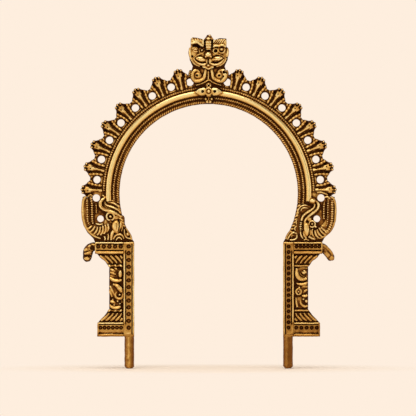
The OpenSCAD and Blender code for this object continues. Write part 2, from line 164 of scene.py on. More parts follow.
def work(piece, kind, **settings):
    """Adds a modifier of a kind to a piece and applies it."""
    bpy.context.view_layer.objects.active = piece
    modifier = piece.modifiers.new(kind.lower(), kind)
    for key, value in settings.items():
        setattr(modifier, key, value)
    bpy.ops.object.modifier_apply(modifier=modifier.name)


relief = {}
hand_wobble = bpy.data.textures.new("hand_wobble", "CLOUDS")
hand_wobble.noise_scale = 2.5
hand_wobble.cloud_type = "COLOR"


def hand_over(piece, name, *nodes, slot="antique_brass", dull=0.0, wobble=0.3):
    """Takes a piece from millimetres to the frame's metres and hides the nodes it takes the place
    of.

    dull is how much darker its colour is set than the rest, wobble how uneven the hand work is.
    """
    pick(piece)
    bpy.ops.object.transform_apply(location=True, rotation=True, scale=True)
    work(piece, "DISPLACE", texture=hand_wobble, texture_coords="GLOBAL",
         direction="RGB_TO_XYZ", strength=wobble)
    piece.data.transform(Matrix.Scale(MM, 4))
    piece.name = piece.data.name = name
    bpy.ops.object.shade_smooth_by_angle(angle=math.radians(SMOOTH_UP_TO))
    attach(piece, "root")
    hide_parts(*nodes)
    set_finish(piece, slot)
    relief[piece] = dull


roll = spin_wire(ROLL_R, ROLL_WIRE, ROLL_LIFT, ROLL_END, ROLL_STEPS)
hand_over(roll, "polished_roll", "bright_roll", slot="bright_brass", wobble=0.12)
bright_brass = old_brass(
    "bright_brass", [(0, BROWN), (0.35, GOLD), (0.7, RUBBED_AND_HIGHLIGHT), (1, BRIGHT)], (0.5, 0.2),
    mottle=0.25, grain=0.15, dents=0.05)
roll.data.materials.append(bright_brass)

# Beaded wires and roped edge. Half-round wires on each side of the roll with a row of small
# beads, and a twisted wire along the opening's edge. Each is pressed in a die, bent to the arch
# and soldered on the band.
BEAD, RIB = (0.45, 0.8, 0.82), (0.48, 0.8, 1.0)
BEAD_Y = PLATE_Y - 0.3
WIRE_STEPS = 120
WIRES = (("outer_beads", "outer_bead_wire", 62.9, 89.0, 0.6, BEAD, 0, 142, 0.5, 0.1),
         ("inner_beads", "inner_bead_wire", 57.0, 96.5, 0.6, BEAD, 24, 150, 0.5, 0.06),
         ("roped_edge", "rope_edge", 54.55, 96.5, 0.65, RIB, 28, 136, 0.6, 0.3))


def one_bead(radius, size, lean):
    """One bead or rib on the wire, drawn at the arch's centre and raised to its radius."""
    bpy.ops.object.select_all(action="DESELECT")
    bpy.ops.mesh.primitive_uv_sphere_add(segments=8, ring_count=6, radius=1,
                                         location=(0, 0, ARCH_Z))
    turned = Matrix.Rotation(math.radians(lean), 4, "Y") @ Matrix.Diagonal((*size, 1))
    bead = bpy.context.object
    bead.data.transform(Matrix.Translation((0, BEAD_Y, radius)) @ turned)
    return bead


def row_round_arch(ornament, end, count):
    """Repeats an ornament, modelled upright at the arch's centre, from one end to the other."""
    step = math.radians(2 * end / (count - 1))
    ornament.rotation_euler.y = math.radians(-end)
    bpy.ops.object.empty_add(location=ornament.location,
                             rotation=(0, math.radians(-end) + step, 0))
    turn = bpy.context.object
    bpy.context.view_layer.update()
    work(ornament, "ARRAY", count=count, use_relative_offset=False, use_object_offset=True,
         offset_object=turn)
    bpy.data.objects.remove(turn)


def join(pieces):
    """Joins loose pieces into the first of them."""
    pick(*pieces)
    if len(pieces) > 1:
        bpy.ops.object.join()
    bpy.ops.object.transform_apply(location=True, rotation=True, scale=True)
    return pieces[0]


for name, node, radius, end, wire, size, lean, count, spare, dull in WIRES:
    core = spin_wire(radius, wire, 0.0, end, WIRE_STEPS)
    bead = one_bead(radius, size, lean)
    row_round_arch(bead, end - spare, count)
    hand_over(join([core, bead]), name, node, dull=dull)

# Flames. Sixteen ridged buds round the arch, each modelled in wax over the pierced web: a
# trumpet-shaped rib ends in three knobs with two punched dots, and ribbed leaves arch round the
# piercings at its sides. Cast in brass with the web.
SIDES = ((-1, "left"), (1, "right"))
FLAME_FIRST, FLAME_STEP, FLAMES = 14.2, 10.6, 8
HEAD_BACK = 2.1
TOOL_ROUND = 1.25
FRONT_FACING = -0.15
bench = []


def thread(*paths, side=1, rise=1.0, seat=PLATE_Y, fat=1.0):
    """Lays rolled wax threads on a seat: a path is a list of (x, z, half width).

    X is outwards on the side given, left (-1) or right (1); fat widens all of them.
    """
    bpy.ops.curve.primitive_bezier_curve_add()
    wax = bpy.context.object
    wax.data.splines.clear()
    for path in paths:
        spline = wax.data.splines.new("BEZIER")
        spline.bezier_points.add(len(path) - 1)
        for knot, (x, z, half) in zip(spline.bezier_points, path):
            knot.co = (side * x, 0, z)
            knot.radius = half * fat
            knot.handle_left_type = knot.handle_right_type = "AUTO"
    wax.data.bevel_depth = 1
    wax.data.bevel_resolution = 2
    wax.data.resolution_u = 6
    wax.data.use_fill_caps = True
    wax.location.y = seat
    wax.scale.y = rise
    bpy.ops.object.convert(target="MESH")
    bench.append(wax)


def pellet(x, z, across, rise, up=None, lean=0.0, seat=PLATE_Y):
    """Presses a wax pellet on a seat, across by up in size, leaned over by some degrees."""
    bpy.ops.mesh.primitive_uv_sphere_add(
        segments=18, ring_count=10, radius=1, location=(x, seat, z),
        rotation=(0, math.radians(lean), 0), scale=(across, rise, up or across))
    bench.append(bpy.context.object)


def plate(outline, front, back=PLATE_Y):
    """A plate cut to an outline of X and Z."""
    bpy.ops.mesh.primitive_circle_add(vertices=len(outline), fill_type="NGON")
    cut = bpy.context.object
    for corner, (x, z) in zip(cut.data.vertices, outline):
        corner.co = (x, front, z)
    bpy.ops.object.mode_set(mode="EDIT")
    bpy.ops.mesh.select_all(action="SELECT")
    bpy.ops.mesh.extrude_region_move(TRANSFORM_OT_translate={"value": (0, back - front, 0)})
    bpy.ops.mesh.select_all(action="SELECT")
    bpy.ops.mesh.normals_make_consistent(inside=False)
    bpy.ops.object.mode_set(mode="OBJECT")
    bench.append(cut)


def points_of(piece, unit=1.0):
    """The vertices of a piece, measured in a unit, and their normals."""
    count = len(piece.data.vertices)
    at, facing = np.empty((2, 3 * count), np.float32)
    piece.data.vertices.foreach_get("co", at)
    piece.data.vertex_normals.foreach_get("vector", facing)
    return at.reshape(-1, 3) / unit, facing.reshape(-1, 3)


def press_marks(piece, dots, lines):
    """Punches dots (x, z, radius, depth), chases lines (path, half width, depth) in the front."""
    at, facing = points_of(piece)
    sunk = np.zeros(len(at))
    marks = [(np.hypot(at[:, 0] - x, at[:, 2] - z) / radius, depth)
             for x, z, radius, depth in dots]
    for path, half, depth in lines:
        for (x0, z0), (x1, z1) in zip(path, path[1:]):
            run = np.array([x1 - x0, z1 - z0])
            off = at[:, (0, 2)] - np.array([x0, z0])
            share = np.clip(off @ run / (run @ run), 0, 1)
            marks.append((np.hypot(*(off - share[:, None] * run).T) / half, depth))
    for away, depth in marks:
        sunk = np.maximum(sunk, depth * np.clip(TOOL_ROUND * (1 - away ** 2), 0, 1))
    front = facing[:, 1] < FRONT_FACING
    at[front, 1] += sunk[front]
    piece.data.vertices.foreach_set("co", at.ravel())
    piece.data.update()


def cast(voxel=0.19, soft=3, seat=None, keep=0.5, dots=(), lines=()):
    """Joins what lies on the bench to one casting: fused, softened, chased and thinned out."""
    piece = join(bench)
    bench.clear()
    work(piece, "REMESH", mode="VOXEL", voxel_size=voxel)
    work(piece, "SMOOTH", factor=0.5, iterations=soft)
    if dots or lines:
        press_marks(piece, dots, lines)
    if seat is not None:
        for vertex in piece.data.vertices:
            vertex.co.y = min(vertex.co.y, seat)
    if keep < 1:
        work(piece, "DECIMATE", ratio=keep)
    piece.data.materials.clear()
    return piece


def model_flame(sides):
    """One flame pointing up from the arch's centre at the origin, with leaves on these sides."""
    half = [(5.75, 70.9), (5.3, 72.0), (4.1, 73.0), (3.05, 74.2), (2.45, 75.5), (2.2, 76.2)]
    plate(half + [(-x, z) for x, z in reversed(half)], PLATE_Y, HEAD_BACK)
    thread([(0, 63.9, 1.25), (0, 66.4, 1.3), (0, 68.8, 1.55), (0, 71.2, 2.0), (0, 73.4, 2.4),
            (0, 75.0, 2.3)], rise=0.95)
    for x, z, size in ((-1.75, 75.3, 0.9), (0, 75.9, 0.95), (1.75, 75.3, 0.9)):
        pellet(x, z, size, 3.4)
    for m in sides:
        thread([(2.6, 64.2, 0.6), (2.7, 65.5, 0.98), (2.8, 66.6, 0.7), (2.9, 67.7, 1.02),
                (3.1, 68.8, 0.74), (3.4, 69.9, 1.06), (3.75, 70.9, 0.76), (4.0, 71.9, 0.98),
                (3.9, 73.0, 0.5)],
               [(4.7, 69.9, 0.5), (5.2, 70.6, 0.75), (5.9, 71.1, 0.6)],
               [(3.9, 64.5, 0.4), (5.0, 64.4, 0.45), (6.1, 64.35, 0.45)], side=m, rise=1.6)
    dots = [(-1.0, 74.3, 0.5, 1.4), (0.9, 74.5, 0.5, 1.4), (-0.5, 72.4, 0.42, 0.8)]
    creases = [([(0.5, 64.0), (0.6, 67.6), (1.1, 71.6)], 0.34, 0.5),
               ([(-0.7, 66.0), (-1.0, 70.6)], 0.3, 0.4)]
    for m in (-1, 1):
        creases += [([(m * 1.75, 64.2), (m * 1.9, 67.0), (m * 2.25, 69.8), (m * 3.0, 72.8)],
                     0.38, 1.1), ([(m * 0.9, 75.0), (m * 0.85, 76.6)], 0.3, 1.4)]
    return cast(dots=dots, lines=creases)


shapes = {"full": model_flame((-1, 1)), "left": model_flame((1,)), "right": model_flame((-1,))}
for m, word in SIDES:
    for i in range(1, FLAMES + 1):
        shape = shapes[word] if i == FLAMES else shapes["full"]
        flame = shape.copy()
        flame.data = shape.data.copy()
        bpy.context.collection.objects.link(flame)
        lean = math.radians(m * (FLAME_FIRST + FLAME_STEP * (i - 1)))
        flame.data.transform(Matrix.Translation((0, 0, ARCH_Z)) @ Matrix.Rotation(lean, 4, "Y"))
        hand_over(flame, f"{word}_flame_{i}", f"flame_{word}_{i}", dull=0.22)
for shape in shapes.values():
    bpy.data.objects.remove(shape)

# Mask. The lion-like face of glory on the crown plate, modelled in wax: hatched brow blocks,
# a laddered crest, ringed eyes, ball nose, almond cheeks with a whisker line, ears and chin ring.
FACE_Y, BROW_Y, EYE_Y, NOSE_Y = -2.7, -4.2, -3.0, -3.2
FACE = [(0, 180.2), (1.0, 180.4), (2.8, 178.0), (10.2, 178.6), (10.7, 176.4), (10.6, 174.0),
        (11.5, 172.2), (11.7, 170.2), (11.2, 167.4), (10.0, 165.2), (8.3, 163.3), (6.0, 161.9),
        (3.2, 161.1), (0, 160.4)]


def wax_ring(x, z, radius, wire, seat=PLATE_Y):
    """A thread of wax closed to a ring."""
    bpy.ops.mesh.primitive_torus_add(
        major_radius=radius, minor_radius=wire, major_segments=28, minor_segments=8,
        location=(x, seat, z), rotation=(math.pi / 2, 0, 0))
    bench.append(bpy.context.object)


plate(FACE + [(-x, z) for x, z in reversed(FACE[1:-1])], FACE_Y)
pellet(0, 166.4, 9.6, 1.5, 4.6, seat=-2.0)
plate([(-2.9, 178.0), (-6.6, 179.0), (-10.0, 179.4), (-10.6, 176.6), (-10.4, 175.4),
       (-6.6, 175.8), (-2.9, 174.6)], BROW_Y)
plate([(2.8, 177.8), (10.2, 178.4), (10.8, 176.4), (10.5, 173.9), (7.4, 174.6), (4.4, 174.1),
       (2.7, 174.2)], BROW_Y)
pellet(-6.8, 177.4, 3.2, 1.3, 1.4, seat=-4.0)
pellet(6.8, 176.6, 3.4, 1.3, 1.7, seat=-4.0)
thread([(-10.4, 175.6, 0.7), (-8.6, 176.2, 0.85), (-6.8, 176.4, 0.95), (-5.0, 175.2, 0.95),
        (-3.2, 174.0, 0.75)],
       [(2.6, 173.6, 0.6), (4.2, 174.3, 0.75), (6.2, 174.2, 0.8), (8.2, 174.7, 0.85),
        (10.4, 173.6, 0.7)], rise=1.3, seat=BROW_Y)
pellet(-7.8, 172.2, 1.5, 1.6, 0.8, seat=-2.8)
thread([(-9.8, 172.2, 0.45), (-8.8, 173.2, 0.55), (-7.2, 173.1, 0.5), (-6.2, 172.2, 0.4)],
       [(-9.4, 171.3, 0.4), (-8.0, 170.8, 0.55), (-6.6, 171.0, 0.5)], rise=1.5, seat=-2.9)
pellet(-4.1, 171.6, 0.85, 1.9, seat=-2.6)
wax_ring(-4.1, 171.5, 1.6, 0.42, seat=EYE_Y)
pellet(7.7, 172.1, 1.25, 2.8, 1.1, seat=-2.6)
wax_ring(7.7, 171.8, 1.85, 0.55, seat=-3.2)
wax_ring(4.2, 171.2, 1.45, 0.5, seat=EYE_Y)
thread([(-0.1, 171.9, 1.75), (-0.1, 174.4, 2.05), (-0.1, 177.4, 2.05)], rise=0.95, seat=-3.0)
plate([(-2.6, 178.0), (0.4, 181.0), (0.9, 181.1), (3.1, 178.0)], -3.6)
pellet(-0.1, 178.6, 1.5, 2.2, 0.9, seat=-3.2)
pellet(0.7, 180.2, 0.75, 1.8, 0.8, seat=-3.0)
pellet(-0.3, 168.7, 1.7, 4.0, 1.5, seat=NOSE_Y)
pellet(-0.3, 168.9, 1.85, 1.9, 1.6, seat=-5.6)
for x in (-1.55, 1.1):
    pellet(x, 167.7, 1.15, 3.0, 1.0, seat=NOSE_Y)
pellet(-4.7, 166.3, 3.4, 2.5, 1.7, 12, seat=-2.8)
pellet(5.0, 166.5, 3.7, 2.5, 1.7, -10, seat=-2.8)
thread([(-9.2, 166.2, 0.4), (-8.0, 167.6, 0.55), (-6.4, 168.7, 0.6), (-4.6, 169.4, 0.55),
        (-2.6, 169.2, 0.45)],
       [(2.6, 169.0, 0.45), (4.8, 169.3, 0.55), (7.2, 168.7, 0.6), (9.4, 167.4, 0.5)],
       [(-8.9, 166.5, 0.5), (-7.3, 164.5, 0.8), (-4.8, 163.3, 0.9), (-2.6, 163.1, 0.9),
        (-1.3, 163.8, 0.65)],
       [(1.0, 163.9, 0.65), (2.4, 163.2, 0.9), (4.6, 163.1, 0.9), (7.2, 164.2, 0.85),
        (9.3, 166.3, 0.5)], rise=1.7, seat=-2.6)
for m in (-1, 1):
    thread([(11.0, 173.2, 0.6), (11.3, 170.8, 0.9), (11.0, 168.4, 0.85), (10.4, 166.2, 0.6)],
           [(10.2, 165.8, 0.5), (8.7, 163.9, 0.6), (6.6, 162.4, 0.55)],
           side=m, rise=1.7, seat=-2.0)
pellet(-0.2, 162.5, 1.0, 1.8, 0.9, seat=-2.4)
thread([(-1.9, 161.6, 0.4), (-1.2, 160.8, 0.6), (-0.2, 160.5, 0.7), (0.9, 160.8, 0.6),
        (1.6, 161.6, 0.4)], rise=1.8, seat=-2.0)
hatch = [([(x, 175.4), (x + 1.9, 178.2)], 0.3, 0.55) for x in (3.0, 4.2, 5.4, 6.8, 8.2)]
hatch += [([(-x, 177.6), (-x - 1.2, 179.2)], 0.3, 0.5) for x in (4.0, 5.4, 6.8, 8.2)]
flanks = [([(-2.3, 171.6), (-2.4, 178.0)], 0.36, 0.7), ([(2.1, 171.6), (2.2, 178.0)], 0.36, 0.7)]
tiers = [([(-1.9, z), (1.7, z)], 0.3, 0.6) for z in (172.6, 174.2, 175.6, 177.2)]
mouth = [([(-0.2, 165.9), (-0.2, 163.9)], 0.6, 1.4),
         ([(-8.0, 166.0), (-6.2, 164.8), (-4.2, 164.1), (-1.7, 164.4)], 0.3, 0.8),
         ([(1.7, 164.5), (4.2, 164.2), (6.6, 164.9), (8.6, 166.4)], 0.3, 0.8),
         ([(-8.2, 167.0), (-6.4, 168.0), (-4.2, 168.2), (-2.2, 167.2)], 0.26, 0.6),
         ([(2.0, 167.4), (4.8, 168.5), (7.0, 168.3), (8.6, 167.4)], 0.26, 0.6),
         ([(3.0, 166.4), (5.2, 166.7)], 0.25, 0.4), ([(3.4, 165.3), (5.2, 165.2)], 0.25, 0.4),
         ([(-6.6, 166.6), (-4.2, 166.2)], 0.25, 0.35)]
pits = [(4.2, 171.2, 1.0, 1.6), (7.5, 170.8, 0.5, 1.0), (-7.2, 174.3, 0.9, 1.4),
        (-8.8, 174.4, 0.8, 1.2), (-5.8, 173.9, 0.7, 1.2), (-9.8, 168.0, 0.65, 1.6),
        (10.9, 167.2, 0.6, 1.4), (-0.2, 171.0, 0.9, 1.0), (-4.7, 161.4, 1.1, 1.2),
        (3.8, 161.3, 1.1, 1.2), (-1.4, 166.9, 0.4, 0.7), (1.0, 166.9, 0.4, 0.7)]
mask = cast(voxel=0.18, seat=PLATE_Y, dots=pits, lines=hatch + flanks + tiers + mouth)
hand_over(mask, "lion_mask", "kirtimukha", dull=0.02)

# Collar scrolls, flower and bud. Ribbons of wax under the mask that coil outwards round a ball,
# a four-petalled flower saddled over the roll with a hole punched in three of its petals, and a
# small cluster of buds hanging over the inner wires.
for m, word in SIDES:
    wide = 0.0 if m < 0 else 0.35
    thread([(1.7, 160.2, 0.85), (2.2, 157.6, 1.05), (2.9, 155.2, 1.25), (4.7, 153.7, 1.35),
            (7.2, 153.2, 1.4), (9.2, 154.4, 1.35 + wide), (9.8, 156.8, 1.3 + wide),
            (8.9, 159.0, 1.25 + wide), (7.2, 159.7, 1.0), (5.9, 158.7, 0.75), (5.8, 157.2, 0.6)],
           side=m, rise=1.5)
    pellet(m * 6.4, 156.4, 2.6, 1.6, 2.4)
    thread([(10.8, 159.8, 0.65), (11.4, 157.6, 0.8), (11.2, 155.2, 0.65)], side=m, rise=1.6)
    if m > 0:
        holes = [(9.2, 158.6, 1.0, 2.2), (10.7, 158.2, 0.6, 1.4), (6.3, 156.5, 0.8, 1.2)]
        cuts = [([(7.0, 153.8), (8.9, 156.2)], 0.45, 1.6)]
    else:
        thread([(-0.2, 159.2, 0.5), (-0.2, 154.2, 0.65)], rise=1.8)
        holes = [(-10.0, 159.8, 0.7, 1.4), (-7.0, 156.6, 0.8, 1.2)]
        cuts = [([(-12.0, z), (-10.5, z + 0.4)], 0.25, 0.6) for z in (155.4, 156.6, 157.8, 159.0)]
    collar = cast(seat=PLATE_Y, lines=cuts, dots=holes)
    hand_over(collar, f"{word}_collar", f"collar_scroll_{word}")

FLOWER_Z, PETAL_Y = ARCH_Z + ROLL_R + 0.8, -4.3
petal = [(8.2, -0.4), (6.3, 1.0), (4.5, 2.0), (2.7, 2.1), (1.6, 1.5), (1.6, -1.6), (2.7, -2.3),
         (4.5, -2.4), (6.3, -1.7)]
for m in (-1, 1):
    plate([(m * x, FLOWER_Z + z) for x, z in petal], PETAL_Y)
    pellet(m * 4.0, FLOWER_Z - 0.1, 3.2, 0.75, 2.0, seat=-4.2)
pellet(0, FLOWER_Z, 1.15, 1.6, seat=PETAL_Y)
wax_ring(0, FLOWER_Z, 1.95, 0.55, seat=PETAL_Y)
pellet(0, FLOWER_Z, 2.3, 3.4, seat=-1.0)
pellet(0, FLOWER_Z + 3.4, 2.0, 3.3, 2.2, seat=-1.2)
pellet(0, FLOWER_Z - 2.3, 2.0, 2.2, 1.2, seat=-2.4)
thread([(-7.6, 150.6, 0.45), (-3.6, 151.9, 0.6), (-1.6, 152.9, 0.65), (0, 153.8, 0.6),
        (1.6, 152.9, 0.65), (3.6, 151.9, 0.6), (7.6, 150.6, 0.45)], rise=1.9)
petal_holes = [(-3.6, FLOWER_Z, 0.9, 1.9), (3.6, FLOWER_Z, 0.9, 1.9),
               (0, FLOWER_Z + 3.6, 0.8, 1.8)]
flower = cast(voxel=0.17, seat=PLATE_Y, dots=petal_holes)
hand_over(flower, "saddled_flower", "crown_flower")

BUD_Z = ARCH_Z + 55.9
pellet(0, BUD_Z, 1.9, 2.0, seat=-1.6)
for x, z in ((-1.6, 0.5), (1.6, 0.5), (0, 1.3), (-0.8, -1.1), (0.9, -1.1)):
    pellet(x, BUD_Z + z, 0.9, 1.2, seat=-2.6)
gaps = [(-0.75, BUD_Z + 0.3, 0.5, 1.0), (0.8, BUD_Z + 0.3, 0.5, 1.0), (0, BUD_Z - 0.8, 0.45, 0.9)]
bud = cast(voxel=0.17, seat=PLATE_Y, dots=gaps)
hand_over(bud, "bud_cluster", "crown_bud", dull=0.18)

# Makaras. The beasts over the pilasters: raised trunk with a groove along it, ringed eye,
# swelling breast, leafy mane and feet, built of wax threads on the springers. The two sides were
# modelled by eye and differ.
thread([(61.0, 83.6, 0.35), (62.7, 82.9, 0.85), (64.2, 81.6, 1.15), (65.0, 79.6, 1.2),
        (64.4, 77.5, 1.25), (62.2, 76.1, 1.2), (59.4, 75.2, 1.15), (56.6, 74.2, 1.1),
        (54.0, 72.8, 0.95), (52.4, 71.4, 0.65)],
       [(64.1, 85.0, 0.35), (63.0, 84.4, 0.6), (61.6, 83.7, 0.5)],
       [(62.2, 81.0, 0.5), (61.9, 79.4, 0.75), (60.2, 78.4, 0.85), (57.6, 77.5, 0.85),
        (55.2, 76.4, 0.85), (53.4, 75.0, 0.7), (52.4, 73.6, 0.5)],
       [(60.9, 80.7, 0.5), (58.4, 80.3, 0.65), (56.0, 79.5, 0.75), (54.2, 78.1, 0.75),
        (53.6, 76.9, 0.5)],
       [(60.4, 82.0, 0.4), (58.6, 81.7, 0.55), (56.6, 81.2, 0.5)], side=-1, rise=2.1)
pellet(-58.0, 65.6, 5.2, 0.5, 7.2)
pellet(-52.6, 66.0, 2.2, 0.5, 7.0, 10)
pellet(-58.0, 78.6, 5.0, 0.4, 3.2)
pellet(-58.9, 72.0, 1.15, 3.2)
wax_ring(-58.9, 72.0, 2.3, 0.6, seat=-2.4)
pellet(-55.9, 71.3, 2.3, 1.8, 1.7)
pellet(-55.5, 65.8, 2.9, 2.9, 4.4, -6)
pellet(-53.0, 66.6, 1.2, 2.3, 2.6, 8)
thread([(57.0, 63.4, 1.2), (57.9, 61.6, 1.25), (58.3, 59.6, 1.0), (58.5, 57.8, 0.7)],
       [(52.2, 68.2, 0.5), (51.7, 65.6, 0.65), (52.3, 63.0, 0.55)],
       [(60.4, 61.8, 0.6), (60.0, 59.9, 0.8), (60.5, 57.8, 0.6)],
       [(62.7, 60.2, 0.5), (62.1, 58.9, 0.7), (62.3, 57.6, 0.5)],
       [(57.2, 58.4, 0.6), (56.0, 60.4, 0.85), (53.8, 61.3, 0.9), (51.6, 60.5, 0.8),
        (50.8, 58.6, 0.55)],
       [(55.6, 57.8, 0.55), (54.7, 59.1, 0.75), (53.3, 59.4, 0.75), (52.0, 58.0, 0.55)],
       [(54.6, 71.2, 0.55), (52.8, 70.5, 0.75), (51.3, 69.4, 0.5)],
       [(53.4, 69.4, 0.55), (52.0, 68.6, 0.7), (50.9, 67.2, 0.5)], side=-1, rise=2.1)
slits = [([(-62.9, 80.8), (-63.0, 79.0), (-61.4, 77.4), (-58.6, 76.4), (-55.4, 75.3),
           (-53.2, 73.8)], 0.36, 1.3),
         ([(-53.7, 68.8), (-53.5, 66.0), (-54.2, 63.0)], 0.32, 0.9),
         ([(-55.4, 68.2), (-55.2, 64.4)], 0.28, 0.35),
         ([(-65.0, 80.4), (-65.0, 78.6), (-63.2, 76.9), (-60.0, 75.7)], 0.3, 0.35)]
makara = cast(seat=PLATE_Y, dots=[(-58.6, 69.0, 1.1, 0.8)], lines=slits)
hand_over(makara, "left_makara", "makara_left", dull=-0.07)

pellet(62.1, 81.4, 2.3, 4.0, 2.0)
thread([(64.4, 81.4, 0.75), (65.6, 79.6, 0.95), (65.7, 77.6, 1.0), (64.3, 75.5, 1.05),
        (61.6, 73.5, 1.05), (59.4, 71.6, 1.0), (58.0, 69.6, 0.95), (57.5, 67.6, 0.8)],
       [(63.3, 80.2, 0.75), (63.5, 78.2, 0.85), (61.8, 76.2, 0.95), (58.6, 74.1, 0.95),
        (56.4, 71.8, 0.95), (55.6, 69.4, 0.85)], rise=2.2)
pellet(58.6, 64.6, 4.8, 0.5, 6.8)
pellet(53.2, 66.6, 2.4, 0.5, 7.6, 10)
pellet(57.2, 76.8, 4.6, 0.4, 2.6)
pellet(62.0, 67.5, 0.9, 3.0)
wax_ring(62.0, 67.5, 1.8, 0.5, seat=-2.2)
pellet(60.3, 70.4, 1.8, 1.8, 1.5)
pellet(64.2, 65.8, 0.9, 2.0, 0.75)
pellet(58.7, 64.4, 2.1, 2.8, 4.6, -4)
thread([(58.2, 68.4, 0.9), (57.4, 66.6, 1.0)],
       [(60.6, 65.6, 0.6), (60.7, 63.2, 0.8), (61.2, 60.8, 0.7)],
       [(62.3, 64.8, 0.6), (61.9, 62.8, 0.8), (62.6, 60.6, 0.75), (63.8, 59.4, 0.5)],
       [(57.0, 63.4, 0.65), (57.2, 61.0, 0.85), (58.6, 58.9, 0.75)],
       [(55.0, 63.0, 0.65), (55.3, 60.9, 0.8), (56.6, 58.8, 0.65)],
       [(60.0, 60.2, 0.95), (61.8, 59.0, 0.95), (64.0, 58.5, 0.65)],
       [(57.0, 57.6, 0.5), (58.2, 58.4, 0.65), (60.0, 57.7, 0.55)], rise=2.1)
thread([(55.4, 68.6, 0.9), (55.2, 66.0, 1.05), (55.0, 63.6, 0.85)],
       [(55.4, 75.2, 0.5), (56.0, 76.6, 0.65), (57.7, 77.2, 0.65), (59.8, 76.8, 0.45)],
       [(53.4, 74.2, 0.55), (53.8, 76.2, 0.7), (55.0, 77.8, 0.65), (57.0, 78.7, 0.6),
        (59.4, 78.6, 0.45)],
       [(52.6, 72.2, 0.55), (53.2, 73.4, 0.6), (54.2, 74.4, 0.45)],
       [(53.1, 70.4, 0.55), (52.4, 68.8, 0.7), (52.9, 67.2, 0.55)],
       [(52.8, 66.4, 0.55), (51.6, 65.0, 0.7), (52.1, 63.4, 0.55)],
       [(52.9, 61.8, 0.6), (51.0, 62.4, 0.75), (49.4, 61.6, 0.75), (47.9, 59.6, 0.7),
        (47.2, 58.0, 0.55)],
       [(52.9, 61.2, 0.55), (52.6, 59.2, 0.7), (50.8, 58.1, 0.75), (48.6, 58.0, 0.55)],
       [(51.2, 60.8, 0.45), (49.9, 60.6, 0.5), (49.8, 59.5, 0.45)], rise=2.2)
ladder = [([(54.2, z), (56.2, z - 0.2)], 0.27, 0.9) for z in (67.8, 66.7, 65.6, 64.5)]
ladder += [([(60.3, 66.6), (60.4, 64.0), (60.1, 61.4)], 0.3, 0.7)]
makara = cast(seat=PLATE_Y, lines=ladder)
hand_over(makara, "right_makara", "makara_right", dull=-0.1)

# Plumes. The beasts' tails at the outer side: ribbed columns side by side, each pinched into
# small cross ridges with a blade, that curl in under the piercing as a fan of ribs.
PINCH, PINCH_PITCH, CURVE_STEPS = 0.45, 1.35, 24
RIB_HALVES = (0.65, 0.95, 0.7)


def sampled(path, pitch):
    """Points along a smooth line through a path of (x, z), about a pitch apart."""
    knots = np.array(path, float)
    knots = np.vstack([2 * knots[0] - knots[1], knots, 2 * knots[-1] - knots[-2]])
    fine = []
    for a, b, c, d in zip(knots, knots[1:], knots[2:], knots[3:]):
        for t in np.linspace(0, 1, CURVE_STEPS, endpoint=False):
            fine.append(0.5 * (2 * b + (c - a) * t + (2 * a - 5 * b + 4 * c - d) * t ** 2
                               + (3 * b - a - 3 * c + d) * t ** 3))
    fine = np.array(fine + [knots[-2]])
    run = np.concatenate([[0], np.cumsum(np.hypot(*np.diff(fine, axis=0).T))])
    at = np.linspace(0, run[-1], max(2, round(run[-1] / pitch) + 1))
    return np.column_stack([np.interp(at, run, fine[:, 0]), np.interp(at, run, fine[:, 1])])


def ridged(path, half):
    """A thread pinched into ridges: its half width is less by the pinch at every other point."""
    points = sampled(path, PINCH_PITCH / 2)
    return [(x, z, half - PINCH * (i % 2)) for i, (x, z) in enumerate(points)]


